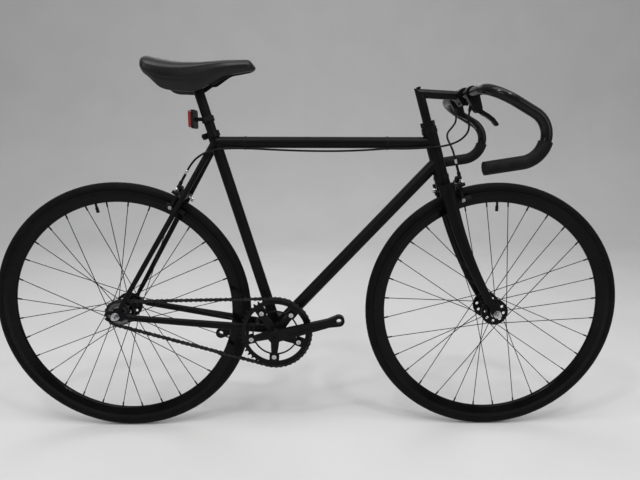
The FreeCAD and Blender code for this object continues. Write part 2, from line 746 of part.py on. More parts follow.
def seat_clamp():
    high = (SEAT_TUBE_TOP_Z - BB.z) / SEAT_COS
    low = high - CLAMP_HEIGHT
    band = collar(low, high, CLAMP_R, SEAT_TUBE_R)
    ears = block(Vector(-CLAMP_EAR_OUT, -CLAMP_EAR_HALF, low), Vector(-SEAT_TUBE_R, CLAMP_EAR_HALF, high))
    ears = ears.cut(long_rod(Vector(0, 0, low), Vector(0, 0, high), SEAT_TUBE_R))
    slit = block(Vector(-CLAMP_EAR_OUT - OVERRUN, -CLAMP_SLIT_HALF, low - OVERRUN),
                 Vector(-SEAT_TUBE_R + CLAMP_BOLT_R, CLAMP_SLIT_HALF, high + OVERRUN))
    bolt_at = Vector(-(CLAMP_R + CLAMP_EAR_OUT) / 2, 0, (low + high) / 2)
    shank = rod(bolt_at - Y * CLAMP_EAR_HALF, bolt_at + Y * CLAMP_EAR_HALF, CLAMP_BOLT_R)
    head_ends = (bolt_at - Y * (CLAMP_EAR_HALF + CLAMP_BOLT_HEAD), bolt_at - Y * CLAMP_EAR_HALF)
    nut_ends = (bolt_at + Y * CLAMP_EAR_HALF, bolt_at + Y * (CLAMP_EAR_HALF + CLAMP_BOLT_HEAD))
    bolt = joined([shank, rod(*head_ends, CLAMP_BOLT_HEAD_R), rod(*nut_ends, CLAMP_BOLT_HEAD_R)])
    body = single(joined([band, ears]).cut([slit, bolt]))
    keep("seat_clamp", moved(body, SEAT), moved(bolt, SEAT))


# Bottom bracket, cranks and drive
def bottom_bracket():
    lip = BB_SHELL_HALF + CUP_LIP
    bore_r = SPINDLE_R + RUN_GAP
    core = ring(-lip, lip, BB_BORE_R, bore_r)
    lips = [ring(BB_SHELL_HALF, lip, CUP_LIP_R, bore_r), ring(-lip, -BB_SHELL_HALF, CUP_LIP_R, bore_r)]
    at_bb = FreeCAD.Placement(BB, FreeCAD.Rotation())
    keep("bottom_bracket_cartridge", moved(joined([core] + lips), at_bb))
    shaft = rod(-Y * SPINDLE_ROUND_HALF, Y * SPINDLE_ROUND_HALF, SPINDLE_R)
    square = block(Vector(-SPINDLE_FLAT_HALF, SPINDLE_ROUND_HALF, -SPINDLE_FLAT_HALF),
                   Vector(SPINDLE_FLAT_HALF, SPINDLE_HALF, SPINDLE_FLAT_HALF))
    keep("crank_spindle", moved(joined([shaft, square, mirrored(square)]), crank_place(CRANK_ANGLE)))


def crank_place(angle):
    return FreeCAD.Placement(BB, FreeCAD.Rotation(Y, -angle))


def crank_arm():
    # Left arm along +X, seen from the spindle; the right arm is its mirror with a spider
    inner = Y * CRANK_INNER
    arm_inner = Y * CRANK_ARM_INNER
    depth = Y * (CRANK_OUTER - CRANK_ARM_INNER)
    eye = X * CRANK_LENGTH
    neck = eye * CRANK_NECK_SHARE
    boss = rod(inner, Y * CRANK_OUTER, CRANK_BOSS_R)
    arm = limb([(arm_inner, CRANK_ROOT_R), (arm_inner + neck, CRANK_NECK_R)], depth)
    end = limb([(arm_inner + neck, CRANK_NECK_R), (arm_inner + eye, CRANK_EYE_R)], depth)
    solid = joined([boss, arm, end])
    flute_floor = Y * (CRANK_OUTER - CRANK_FLUTE_DEPTH)
    near, far = (X * CRANK_LENGTH * share + flute_floor for share in CRANK_FLUTE_SHARES)
    flute = capsule(near, CRANK_FLUTE_R, far, CRANK_FLUTE_R * CRANK_NECK_SHARE, Y * OVERRUN)
    bore = rod(eye, eye + Y * (CRANK_OUTER + OVERRUN), PEDAL_BORE_R)
    socket = block(Vector(-SPINDLE_FLAT_HALF, 0, -SPINDLE_FLAT_HALF),
                   Vector(SPINDLE_FLAT_HALF, SPINDLE_HALF, SPINDLE_FLAT_HALF))
    recess = rod(Y * SPINDLE_HALF, Y * (CRANK_OUTER + OVERRUN), DUST_CAP_R)
    return solid.cut([flute, bore, socket, recess])


def spider_places():
    step = 2 * math.pi / SPIDER_ARMS
    angles = [step * (k + 1 / 2) for k in range(SPIDER_ARMS)]
    return [Vector(math.cos(a), 0, math.sin(a)) * RING_BOLT_CIRCLE_R for a in angles]


def cranks():
    left = crank_arm()
    keep("crank_arm_left", single(moved(left, crank_place(CRANK_ANGLE + 180))))
    right = mirrored(left)
    face = CHAIN_LINE + SPROCKET_T / 2
    inner = -Y * face
    depth = -Y * SPIDER_T
    arms = [capsule(inner, SPIDER_ROOT_R, inner + p, SPIDER_TIP_R, depth) for p in spider_places()]
    shaft = rod(-Y * CHAIN_LINE, -Y * SPINDLE_HALF, SPINDLE_FLAT_HALF)
    core = block(Vector(-SPINDLE_FLAT_HALF, -SPINDLE_HALF, -SPINDLE_FLAT_HALF),
                 Vector(SPINDLE_FLAT_HALF, 0, SPINDLE_FLAT_HALF))
    hub = rod(-Y * face, -Y * CRANK_INNER, CRANK_BOSS_R)
    holes = [rod(p, p - Y * CRANK_OUTER, RING_BOLT_R) for p in spider_places()]
    right = joined([right, hub.cut(core)] + [arm.cut([core, shaft]) for arm in arms]).cut(holes)
    place = crank_place(CRANK_ANGLE)
    keep("crank_arm_right", moved(single(right), place))
    caps = []
    for side in (-1, 1):
        base = Y * side * SPINDLE_HALF
        cap = rod(base, base + Y * side * DUST_CAP_T, DUST_CAP_R)
        top = SPINDLE_HALF + DUST_CAP_T
        low, high = sorted((side * (top - DUST_CAP_HEX_DEPTH), side * (top + OVERRUN)))
        caps.append(moved(single(cap.cut(hexagon(low, high, DUST_CAP_HEX_R))), place))
    bolts = [moved(ring_bolt(p), place) for p in spider_places()]
    keep("crank_fasteners", *caps, *bolts)


def ring_bolt(at):
    inner = CHAIN_LINE - SPROCKET_T / 2
    outer = CHAIN_LINE + SPROCKET_T / 2 + SPIDER_T
    shank = rod(at - Y * inner, at - Y * outer, RING_BOLT_R)
    nut = rod(at - Y * (inner - RING_BOLT_HEAD), at - Y * inner, RING_BOLT_HEAD_R)
    head = rod(at - Y * outer, at - Y * (outer + RING_BOLT_HEAD), RING_BOLT_HEAD_R)
    socket = hexagon(-outer - OVERRUN, -outer, RING_BOLT_HEX_R)
    socket.translate(at)
    return single(joined([shank, nut, head]).cut(socket))


def toothed_face(teeth, turn):
    # Roller seats as arcs, straight flanks and short tips; the first tooth stands at angle turn
    pitch_r = pitch_radius(teeth)
    seat_r = ROLLER_R + ROLLER_SEAT_GAP
    half = math.radians(SEAT_HALF_ANGLE)
    tip_r = pitch_r + TOOTH_RISE
    tip_angle = math.pi / teeth - math.asin(TOOTH_TIP_HALF / tip_r)
    edges = []
    tips = []
    for k in range(teeth):
        angle = turn + 2 * math.pi * (k + 1 / 2) / teeth
        out = Vector(math.cos(angle), 0, math.sin(angle))
        along = Vector(-math.sin(angle), 0, math.cos(angle))
        centre = out * pitch_r
        low = centre - out * seat_r * math.cos(half) - along * seat_r * math.sin(half)
        high = centre - out * seat_r * math.cos(half) + along * seat_r * math.sin(half)
        bottom = centre - out * seat_r
        before = Vector(math.cos(angle - tip_angle), 0, math.sin(angle - tip_angle)) * tip_r
        after = Vector(math.cos(angle + tip_angle), 0, math.sin(angle + tip_angle)) * tip_r
        tips.append((before, after))
        flanks = Part.LineSegment(before, low), Part.LineSegment(high, after)
        edges.append((flanks[0], Part.Arc(low, bottom, high), flanks[1]))
    whole = []
    for k in range(teeth):
        whole.extend(edge.toShape() for edge in edges[k])
        whole.append(Part.LineSegment(tips[k][1], tips[(k + 1) % teeth][0]).toShape())
    return Part.Face(Part.Wire(whole))


def chain_angle():
    # Direction from the bottom bracket to the rear hub, as an angle from +X towards +Z
    way = REAR_HUB - BB
    return math.atan2(way.z, way.x)


def chainring():
    turn = chain_angle() + math.pi
    disc = toothed_face(RING_TEETH, turn).extrude(Y * SPROCKET_T)
    disc.translate(BB - Y * (CHAIN_LINE + SPROCKET_T / 2))
    place = crank_place(CRANK_ANGLE)
    outer = CHAIN_LINE + SPROCKET_T
    inner = CHAIN_LINE - SPROCKET_T
    bore = moved(rod(-Y * inner, -Y * outer, RING_BORE_R), place)
    holes = [moved(rod(p - Y * inner, p - Y * outer, RING_BOLT_R), place) for p in spider_places()]
    band = pipe(-Y * inner, -Y * outer, RING_SLOT_OUTER_R, RING_SLOT_INNER_R)
    webs = [capsule(-Y * inner, RING_SLOT_MARGIN, p * 2 - Y * inner, RING_SLOT_MARGIN, -Y * 2 * SPROCKET_T)
            for p in spider_places()]
    slots = moved(band.cut(webs), place)
    keep("chainring", single(disc.cut([bore, slots] + holes)))


def cog():
    turn = chain_angle()
    disc = toothed_face(COG_TEETH, turn).extrude(Y * SPROCKET_T)
    disc.translate(-Y * (CHAIN_LINE + SPROCKET_T / 2))
    inner = CHAIN_LINE - SPROCKET_T / 2
    shoulder = rod(-Y * (inner - COG_SHOULDER), -Y * inner, COG_SHOULDER_R)
    bore = long_rod(-Y * (inner - COG_SHOULDER), -Y * (CHAIN_LINE + SPROCKET_T), COG_THREAD_R)
    at_hub = FreeCAD.Placement(REAR_HUB, FreeCAD.Rotation())
    keep("rear_cog", moved(single(joined([disc, shoulder]).cut(bore)), at_hub))
    base = CHAIN_LINE + SPROCKET_T / 2
    band = ring(-base - LOCKRING_T, -base, LOCKRING_R, LOCKRING_THREAD_R)
    step = 2 * math.pi / LOCKRING_NOTCHES
    rims = [Vector(math.cos(k * step), 0, math.sin(k * step)) * LOCKRING_R for k in range(LOCKRING_NOTCHES)]
    notches = [long_rod(r - Y * base, r - Y * (base + LOCKRING_T), LOCKRING_NOTCH_R) for r in rims]
    keep("rear_cog", moved(single(band.cut(notches)), at_hub))


def link_plate(low, high):
    # Figure-of-eight plate between two pins
    blend = math.radians(PLATE_BLEND_ANGLE)
    dx = PITCH / 2 - PLATE_END_R * math.cos(blend)
    dz = PLATE_END_R * math.sin(blend)
    end = PITCH / 2 + PLATE_END_R
    base = Vector(0, low, 0)
    edges = [
        Part.Arc(base + Vector(-dx, 0, dz), base + Vector(0, 0, PLATE_WAIST), base + Vector(dx, 0, dz)),
        Part.Arc(base + Vector(dx, 0, dz), base + Vector(end, 0, 0), base + Vector(dx, 0, -dz)),
        Part.Arc(base + Vector(dx, 0, -dz), base + Vector(0, 0, -PLATE_WAIST), base + Vector(-dx, 0, -dz)),
        Part.Arc(base + Vector(-dx, 0, -dz), base + Vector(-end, 0, 0), base + Vector(-dx, 0, dz)),
    ]
    return Part.Face(Part.Wire([edge.toShape() for edge in edges])).extrude(Y * (high - low))


def chain_links():
    pins = [X * (PITCH / 2), -X * (PITCH / 2)]
    inner_face = ROLLER_HALF + PLATE_T
    outer_low = inner_face + PLATE_GAP
    outer_high = outer_low + PLATE_T
    pin_half = outer_high + CHAIN_PIN_PROUD
    rollers = [rod(p - Y * ROLLER_HALF, p + Y * ROLLER_HALF, ROLLER_R) for p in pins]
    plates = [link_plate(ROLLER_HALF, inner_face), link_plate(-inner_face, -ROLLER_HALF)]
    holes = [long_rod(p - Y * inner_face, p + Y * inner_face, CHAIN_PIN_R + RUN_GAP) for p in pins]
    inner = single(joined(plates + rollers).cut(holes))
    shafts = [rod(p - Y * pin_half, p + Y * pin_half, CHAIN_PIN_R) for p in pins]
    covers = [link_plate(outer_low, outer_high), link_plate(-outer_high, -outer_low)]
    outer = joined(covers + shafts)
    return inner, outer


def chain_points():
    # Roller centres in a frame whose first axis runs from the chainring to the cog
    away = [math.pi - RING_END + 2 * math.pi * k / RING_TEETH for k in range(RING_STEPS + 1)]
    points = [(RING_PITCH_R * math.cos(a), RING_PITCH_R * math.sin(a)) for a in away]
    low = (CHAIN_STAY + COG_PITCH_R * math.cos(-COG_END), COG_PITCH_R * math.sin(-COG_END))
    last = points[-1]
    for k in range(1, SPAN_LINKS):
        share = k / SPAN_LINKS
        points.append((last[0] + (low[0] - last[0]) * share, last[1] + (low[1] - last[1]) * share))
    for k in range(COG_STEPS + 1):
        a = -COG_END + 2 * math.pi * k / COG_TEETH
        points.append((CHAIN_STAY + COG_PITCH_R * math.cos(a), COG_PITCH_R * math.sin(a)))
    high = points[-1]
    first = points[0]
    for k in range(1, SPAN_LINKS):
        share = k / SPAN_LINKS
        points.append((high[0] + (first[0] - high[0]) * share, high[1] + (first[1] - high[1]) * share))
    return points


def chain():
    inner, outer = chain_links()
    along = (REAR_HUB - BB).normalize()
    across = along.cross(Y) * -1
    base = BB - Y * CHAIN_LINE
    places = [base + along * u + across * v for u, v in chain_points()]
    for k, here in enumerate(places):
        there = places[(k + 1) % len(places)]
        way = (there - here).normalize()
        turn = FreeCAD.Rotation(way, Y, way.cross(Y), "YXZ")
        link = inner if k % 2 else outer
        keep("chain", moved(link, FreeCAD.Placement((here + there) / 2, turn)))


# Wheels
def tyre():
    centre = TYRE_R - TYRE_SECTION_R
    lip = RIM_EDGE_R + TYRE_LIFT
    drop = centre - lip
    outer_y = math.sqrt(TYRE_SECTION_R ** 2 - drop ** 2)
    inner_r = TYRE_SECTION_R - TYRE_WALL
    inner_y = math.sqrt(inner_r ** 2 - drop ** 2)
    toe = BEAD_HALF - BEAD_W

    def at(r, y):
        return Vector(r, y, 0)

    edges = [
        Part.Arc(at(lip, -outer_y), at(TYRE_R, 0), at(lip, outer_y)),
        Part.LineSegment(at(lip, outer_y), at(lip, BEAD_HALF)),
        Part.LineSegment(at(lip, BEAD_HALF), at(BEAD_R, BEAD_HALF)),
        Part.LineSegment(at(BEAD_R, BEAD_HALF), at(BEAD_R, toe)),
        Part.LineSegment(at(BEAD_R, toe), at(lip, inner_y)),
        Part.Arc(at(lip, inner_y), at(centre + inner_r, 0), at(lip, -inner_y)),
        Part.LineSegment(at(lip, -inner_y), at(BEAD_R, -toe)),
        Part.LineSegment(at(BEAD_R, -toe), at(BEAD_R, -BEAD_HALF)),
        Part.LineSegment(at(BEAD_R, -BEAD_HALF), at(lip, -BEAD_HALF)),
        Part.LineSegment(at(lip, -BEAD_HALF), at(lip, -outer_y)),
    ]
    face = Part.Face(Part.Wire([edge.toShape() for edge in edges]))
    return single(face.revolve(Vector(0, 0, 0), Y, 360))


def inner_tube(valve_angle):
    centre = TYRE_R - TYRE_SECTION_R - TUBE_SINK
    skin = Part.makeTorus(centre, TUBE_SECTION_R, Vector(0, 0, 0), Y)
    air = Part.makeTorus(centre, TUBE_SECTION_R - TUBE_SECTION_WALL, Vector(0, 0, 0), Y)
    stem = rod(Z * centre, Z * VALVE_END_R, VALVE_R)
    cap = rod(Z * (VALVE_END_R + VALVE_CAP), Z * VALVE_END_R, VALVE_CAP_R)
    shape = single(joined([skin, stem, cap]).cut(air))
    shape.rotate(Vector(0, 0, 0), Y, valve_angle)
    return shape


def rim(holes, valve_angle):
    track_low = RIM_EDGE_R - RIM_TRACK
    nose = RIM_NOSE_R + RIM_NOSE_ROUND
    bead_wall = BEAD_HALF

    def at(r, y):
        return Vector(r, y, 0)

    outside = [at(nose, RIM_NOSE_HALF), at(track_low, RIM_HALF_W), at(RIM_EDGE_R, RIM_HALF_W),
               at(RIM_EDGE_R, bead_wall), at(BEAD_R, bead_wall),
               at(BEAD_R, -bead_wall), at(RIM_EDGE_R, -bead_wall),
               at(RIM_EDGE_R, -RIM_HALF_W), at(track_low, -RIM_HALF_W), at(nose, -RIM_NOSE_HALF)]
    edges = [Part.LineSegment(a, b).toShape() for a, b in zip(outside[:-1], outside[1:])]
    edges.append(Part.Arc(outside[-1], at(RIM_NOSE_R, 0), outside[0]).toShape())
    side = RIM_HALF_W - RIM_WALL
    floor = BEAD_R - RIM_FLOOR
    deep = RIM_NOSE_R + RIM_NOSE_WALL
    inside = [at(floor, side), at(track_low, side), at(deep, RIM_CAVITY_NOSE_HALF),
              at(deep, -RIM_CAVITY_NOSE_HALF), at(track_low, -side), at(floor, -side)]
    whole = single(Part.Face(Part.Wire(edges)).revolve(Vector(0, 0, 0), Y, 360))
    cavity = Part.Face(closed_wire(inside)).revolve(Vector(0, 0, 0), Y, 360)
    valve = rod(Z * (RIM_NOSE_R - OVERRUN), Z * (BEAD_R + OVERRUN), VALVE_R)
    valve.rotate(Vector(0, 0, 0), Y, valve_angle)
    return single(whole.cut([cavity, valve] + holes))


def spoke_set(flange_y):
    # Spokes leave each flange alternately outside and inside, leading and trailing
    half = SPOKES // 2
    step = 2 * math.pi / half
    spokes = []
    nipples = []
    holes = []
    rim_r = RIM_NOSE_R + RIM_NOSE_WALL
    for side in (-1, 1):
        for lead in (1, -1):
            start_angle = step * (lead + 1) / 2 + (side + 1) * step / 4
            rim_angle = start_angle + lead * CROSSES * step
            out = side * lead
            plane = side * flange_y
            bore = Vector(math.cos(start_angle), 0, math.sin(start_angle)) * FLANGE_HOLE_CIRCLE_R
            head = bore + Y * (plane - out * FLANGE_T / 2)
            elbow = bore + Y * (plane + out * (FLANGE_T / 2 + SPOKE_ELBOW_R))
            seat = Vector(math.cos(rim_angle), 0, math.sin(rim_angle)) * rim_r
            way = (seat - elbow).normalize()
            shaft = swept(rounded_edges([head, elbow, seat], [SPOKE_ELBOW_R]), SPOKE_R)
            button = rod(head - Y * out * SPOKE_HEAD, head, SPOKE_HEAD_R)
            spoke = joined([shaft, button])
            low = seat - way * (RIM_NOSE_WALL + NIPPLE_BELOW)
            lifted = seat + way * NIPPLE_LIFT
            body = rod(low, lifted, NIPPLE_R)
            top = rod(lifted, lifted + way * NIPPLE_HEAD, NIPPLE_HEAD_R)
            nipple = single(joined([body, top]).cut(rod(elbow, seat, SPOKE_R)))
            hole = rod(low, lifted + way * NIPPLE_HEAD, NIPPLE_R + NIPPLE_HOLE_GAP)
            for k in range(half // 2):
                turn = math.degrees(2 * step * k)
                for shapes, source in ((spokes, spoke), (nipples, nipple), (holes, hole)):
                    copy = source.copy()
                    copy.rotate(Vector(0, 0, 0), Y, turn)
                    shapes.append(copy)
    return spokes, nipples, holes


def hub_holes(flange_y):
    half = SPOKES // 2
    step = 2 * math.pi / half
    holes = []
    for side in (-1, 1):
        low = Y * (side * flange_y - FLANGE_T)
        high = Y * (side * flange_y + FLANGE_T)
        for k in range(half):
            a = -(step * k + (side + 1) * step / 4)
            spot = Vector(math.cos(a), 0, -math.sin(a)) * FLANGE_HOLE_CIRCLE_R
            holes.append(rod(spot + low, spot + high, SPOKE_HOLE_R))
        for k in range(FLANGE_WINDOWS):
            a = 2 * math.pi * k / FLANGE_WINDOWS
            spot = Vector(math.cos(a), 0, math.sin(a)) * FLANGE_WINDOW_CIRCLE_R
            holes.append(rod(spot + low, spot + high, FLANGE_WINDOW_R))
    return holes


def hub_profile(flange_y, left_end, right_end, right_steps):
    # Radii against the distance along the axle, from the right end to the left one
    inner = flange_y - FLANGE_T / 2
    outer = flange_y + FLANGE_T / 2
    barrel = inner - FLANGE_FLARE
    profile = list(right_steps)
    profile += [(HUB_SHOULDER_R, -outer), (FLANGE_R, -outer), (FLANGE_R, -inner), (FLANGE_ROOT_R, -inner)]
    profile += [(HUB_BARREL_R, -barrel), (HUB_BARREL_R, barrel)]
    profile += [(FLANGE_ROOT_R, inner), (FLANGE_R, inner), (FLANGE_R, outer), (HUB_END_R, outer)]
    profile += [(HUB_END_R, left_end), (BEARING_R, left_end), (BEARING_R, left_end - BEARING_W)]
    profile += [(HUB_CORE_R, left_end - BEARING_W), (HUB_CORE_R, BEARING_W - right_end)]
    profile += [(BEARING_R, BEARING_W - right_end), (BEARING_R, -right_end)]
    return profile


def wheel(name, centre, flange_y, left_end, right_end, right_steps, axle_r, valve_angle):
    place = FreeCAD.Placement(centre, FreeCAD.Rotation())
    spokes, nipples, holes = spoke_set(flange_y)
    hub = spun(hub_profile(flange_y, left_end, right_end, right_steps)).cut(hub_holes(flange_y))
    # The valve stands midway between two spokes
    for shape in spokes + nipples + holes + [hub]:
        shape.rotate(Vector(0, 0, 0), Y, valve_angle + 180 / SPOKES)
    bearings = [ring(left_end - BEARING_W, left_end, BEARING_R, axle_r + RUN_GAP),
                ring(-right_end, BEARING_W - right_end, BEARING_R, axle_r + RUN_GAP)]
    keep(name + "_tyre", moved(tyre(), place))
    keep(name + "_inner_tube", moved(inner_tube(valve_angle), place))
    keep(name + "_rim", moved(rim(holes, valve_angle), place))
    keep(name + "_spokes", *[moved(s, place) for s in spokes + nipples])
    keep(name + "_hub", moved(single(hub), place))
    keep(name + "_bearings", *[moved(single(b), place) for b in bearings])


def wheels():
    front_steps = [(HUB_END_R, -FRONT_HUB_END), (HUB_END_R, -FRONT_FLANGE_Y - FLANGE_T / 2)]
    wheel("front", FRONT_HUB, FRONT_FLANGE_Y, FRONT_HUB_END, FRONT_HUB_END, front_steps, FRONT_AXLE_R,
          FRONT_VALVE_ANGLE)
    cog_outer = CHAIN_LINE + SPROCKET_T / 2
    cog_inner = CHAIN_LINE - SPROCKET_T / 2 - COG_SHOULDER
    hub_end = cog_outer + LOCKRING_T
    rear_steps = [(LOCKRING_THREAD_R, -hub_end), (LOCKRING_THREAD_R, -cog_outer), (COG_THREAD_R, -cog_outer),
                  (COG_THREAD_R, -cog_inner), (HUB_SHOULDER_R, -cog_inner)]
    wheel("rear", REAR_HUB, REAR_FLANGE_Y, hub_end, hub_end, rear_steps, REAR_AXLE_R, REAR_VALVE_ANGLE)
    axle("front", FRONT_HUB, FRONT_AXLE_R, FRONT_HUB_END, FRONT_OLD_HALF, FORK_TIP_T, FRONT_AXLE_FREE)
    axle("rear", REAR_HUB, REAR_AXLE_R, hub_end, REAR_OLD_HALF, DROPOUT_T, REAR_AXLE_FREE)


def axle(name, centre, radius, hub_end, old_half, plate, free):
    place = FreeCAD.Placement(centre, FreeCAD.Rotation())
    face = old_half + plate
    nut_end = face + WASHER_T + NUT_T
    end = nut_end + free
    pieces = [rod(-Y * nut_end, Y * nut_end, radius), rod(-Y * end, Y * end, radius - AXLE_END_STEP)]
    for side in (-1, 1):
        pieces.append(rod(Y * side * (hub_end + SIDE_GAP), Y * side * old_half, AXLE_COLLAR_R))
    keep(name + "_axle", moved(joined(pieces), place))
    for side in (-1, 1):
        low, high = sorted((side * face, side * (face + WASHER_T)))
        keep(name + "_axle_nuts", moved(ring(low, high, WASHER_R, radius), place))
        low, high = sorted((side * (face + WASHER_T), side * (face + WASHER_T + NUT_T)))
        nut = hexagon(low, high, NUT_FLAT_HALF).cut(rod(-Y * end, Y * end, radius))
        keep(name + "_axle_nuts", moved(single(nut), place))


# Fork, headset, stem and handlebar
def blade_at(s):
    # Centre, forward and sideways directions of the left blade's section at height s
    bend = max(0, (BLADE_BEND_S - s) / BLADE_BEND_S)
    slope = -2 * FORK_RAKE * bend / BLADE_BEND_S
    share = (BLADE_TOP_S - s) / (BLADE_TOP_S - BLADE_FOOT_S)
    foot_y = FRONT_OLD_HALF + FORK_TIP_T / 2
    centre = Vector(FORK_RAKE * bend ** 2, BLADE_TOP_Y + (foot_y - BLADE_TOP_Y) * share, s)
    deep = Vector(1, 0, -slope).normalize()
    return centre, deep, share


def blade(wall):
    wires = []
    for k in range(BLADE_SECTIONS):
        s = BLADE_TOP_S + (BLADE_FOOT_S - BLADE_TOP_S) * k / (BLADE_SECTIONS - 1)
        centre, deep, share = blade_at(s)
        half_deep = BLADE_TOP_DEEP + (BLADE_FOOT_DEEP - BLADE_TOP_DEEP) * share - wall
        half_wide = BLADE_TOP_WIDE + (BLADE_FOOT_WIDE - BLADE_TOP_WIDE) * share - wall
        wires.append(ellipse(centre, deep * half_deep, Y * half_wide))
    return Part.makeLoft(wires, True, False)


def fork():
    solid = blade(0)
    hub = Vector(FORK_RAKE, FRONT_OLD_HALF, 0)
    foot = blade_at(BLADE_FOOT_S)[0]
    neck = Vector(foot.x, FRONT_OLD_HALF, foot.z + FORK_TIP_HUB_R)
    depth = Y * FORK_TIP_T
    tip = capsule(hub, FORK_TIP_HUB_R, neck, FORK_TIP_NECK_R, depth)
    slot_r = FRONT_AXLE_R + SLOT_GAP
    below = hub - Z * (FORK_TIP_HUB_R + slot_r + OVERRUN)
    slot = capsule(below - Y * OVERRUN, slot_r, hub - Y * OVERRUN, slot_r, Y * (FORK_TIP_T + 2 * OVERRUN))
    tip = single(tip.cut(slot))
    hollow = single(solid.cut([blade(BLADE_WALL), tip]))
    keep("fork_blades", *[moved(s, STEER) for s in (hollow, tip, mirrored(hollow), mirrored(tip))])

    low = Z * CROWN_LOW_S
    high = Z * CROWN_SHOULDER_S
    bar = capsule(low - Y * BLADE_TOP_Y, CROWN_R, low + Y * BLADE_TOP_Y, CROWN_R, high - low)
    boss = rod(low, Z * CROWN_TOP_S, CROWN_BOSS_R)
    sockets = []
    for side in (-1, 1):
        at = Y * side * BLADE_TOP_Y + Z * SOCKET_LOW_S
        deep = X * (BLADE_TOP_DEEP + SOCKET_WALL)
        wide = Y * (BLADE_TOP_WIDE + SOCKET_WALL)
        sockets.append(Part.Face(ellipse(at, deep, wide)).extrude(Z * (CROWN_SHOULDER_S - SOCKET_LOW_S)))
    steerer = rod(low, Z * LOCKNUT_TOP_S, STEERER_R)
    bore = rod(Z * (CROWN_LOW_S - OVERRUN), Z * (LOCKNUT_TOP_S + OVERRUN), QUILL_R)
    bolt_at = Z * BRAKE_BRIDGE_RADIUS
    bolt = rod(bolt_at - X * FRONT_BOLT_TAIL, bolt_at + X * FRONT_BOLT_TAIL, BRAKE_BOLT_R)
    crown = joined([bar, boss, steerer] + sockets).cut([bore, bolt, solid, mirrored(solid)])
    keep("fork_crown", moved(largest(crown), STEER))


def headset():
    insert_r = HEAD_TUBE_R - HEAD_TUBE_WALL
    bore = STEERER_R + RUN_GAP
    race = collar(CROWN_TOP_S, CROWN_TOP_S + CROWN_RACE, CROWN_RACE_R, STEERER_R)
    low_cup = joined([collar(CROWN_TOP_S + CROWN_RACE + RACE_GAP, HEAD_LOW_S, CUP_R, bore),
                      collar(HEAD_LOW_S, HEAD_LOW_S + CUP_INSERT, insert_r, bore)])
    high_cup = joined([collar(HEAD_TOP_S, UPPER_CUP_S, CUP_R, bore),
                       collar(HEAD_TOP_S - CUP_INSERT, HEAD_TOP_S, insert_r, bore)])
    keep("headset_cups", moved(low_cup, STEER), moved(high_cup, STEER))
    top_race = collar(TOP_RACE_S, LOCK_WASHER_S, TOP_RACE_R, STEERER_R)
    washer = collar(LOCK_WASHER_S, LOCKNUT_S, LOCK_WASHER_R, STEERER_R)
    nut = hexagon(LOCKNUT_S, LOCKNUT_TOP_S, LOCKNUT_FLAT_HALF)
    nut.rotate(Vector(0, 0, 0), X, 90)
    nut = nut.cut(rod(Z * LOCKNUT_S, Z * LOCKNUT_TOP_S, STEERER_R))
    keep("headset_races", *[moved(single(s), STEER) for s in (race, top_race, washer, nut)])


def stem():
    corner = head_axis(STEM_CORNER_Z)
    up = STEER.Rotation.multVec(Z)
    bar = Vector(BAR_X, 0, BAR_Z)
    low = STEER.multVec(Z * (LOCKNUT_TOP_S - QUILL_BELOW))
    path = Part.makePolygon([low, corner, bar])
    body = path.makePipeShell([Part.Wire(Part.makeCircle(STEM_R, low, up))], True, False, 1)
    ear = bar - Z * STEM_EAR_DROP
    grip = rod(bar - Y * STEM_CLAMP_HALF, bar + Y * STEM_CLAMP_HALF, STEM_CLAMP_R)
    lug_low = Y * -STEM_CLAMP_HALF
    lug = capsule(bar + lug_low, STEM_CLAMP_R, ear + lug_low, STEM_EAR_R, Y * 2 * STEM_CLAMP_HALF)
    sleeve = long_rod(bar - Y * STEM_CLAMP_HALF, bar + Y * STEM_CLAMP_HALF, BAR_SLEEVE_R)
    reach = STEM_EAR_DROP + STEM_EAR_R + OVERRUN
    slit = block(bar + Vector(-STEM_SLIT_HALF, -STEM_CLAMP_HALF - OVERRUN, -reach),
                 bar + Vector(STEM_SLIT_HALF, STEM_CLAMP_HALF + OVERRUN, 0))
    bolt_ends = (ear - X * (STEM_EAR_R + STEM_BOLT_HEAD_R), ear + X * (STEM_EAR_R + STEM_BOLT_HEAD_R))
    bolt = rod(*bolt_ends, STEM_BOLT_R)
    head = rod(bolt_ends[1], bolt_ends[1] + X * STEM_BOLT_HEAD_R, STEM_BOLT_HEAD_R)
    expander = rod(corner + up * STEM_R, corner + up * (STEM_R + EXPANDER_HEAD), EXPANDER_HEAD_R)
    socket = hexagon(STEM_R, STEM_R + EXPANDER_HEAD + OVERRUN, EXPANDER_HEX_R)
    socket.rotate(Vector(0, 0, 0), X, 90)
    socket = moved(socket, FreeCAD.Placement(corner, STEER.Rotation))
    solid = joined([body, grip, lug]).cut([sleeve, slit, bolt, head])
    wedge = rod(low - up * WEDGE, low, QUILL_R)
    expander = expander.cut([solid, socket])
    keep("stem", largest(solid))
    keep("stem_bolts", joined([bolt, head]), largest(expander), wedge)


class BarPath:
    # Edges of a bent tube, drawn by straight lengths and tangent bends
    def __init__(self, start, way):
        self.here = start
        self.way = way
        self.edges = []

    def run(self, length):
        end = self.here + self.way * length
        self.edges.append(Part.LineSegment(self.here, end).toShape())
        self.here = end

    def bend(self, radius, angle, axis):
        centre = self.here + axis.cross(self.way) * radius
        arm = self.here - centre
        middle = centre + FreeCAD.Rotation(axis, angle / 2).multVec(arm)
        end = centre + FreeCAD.Rotation(axis, angle).multVec(arm)
        self.edges.append(Part.Arc(self.here, middle, end).toShape())
        self.way = FreeCAD.Rotation(axis, angle).multVec(self.way)
        self.here = end


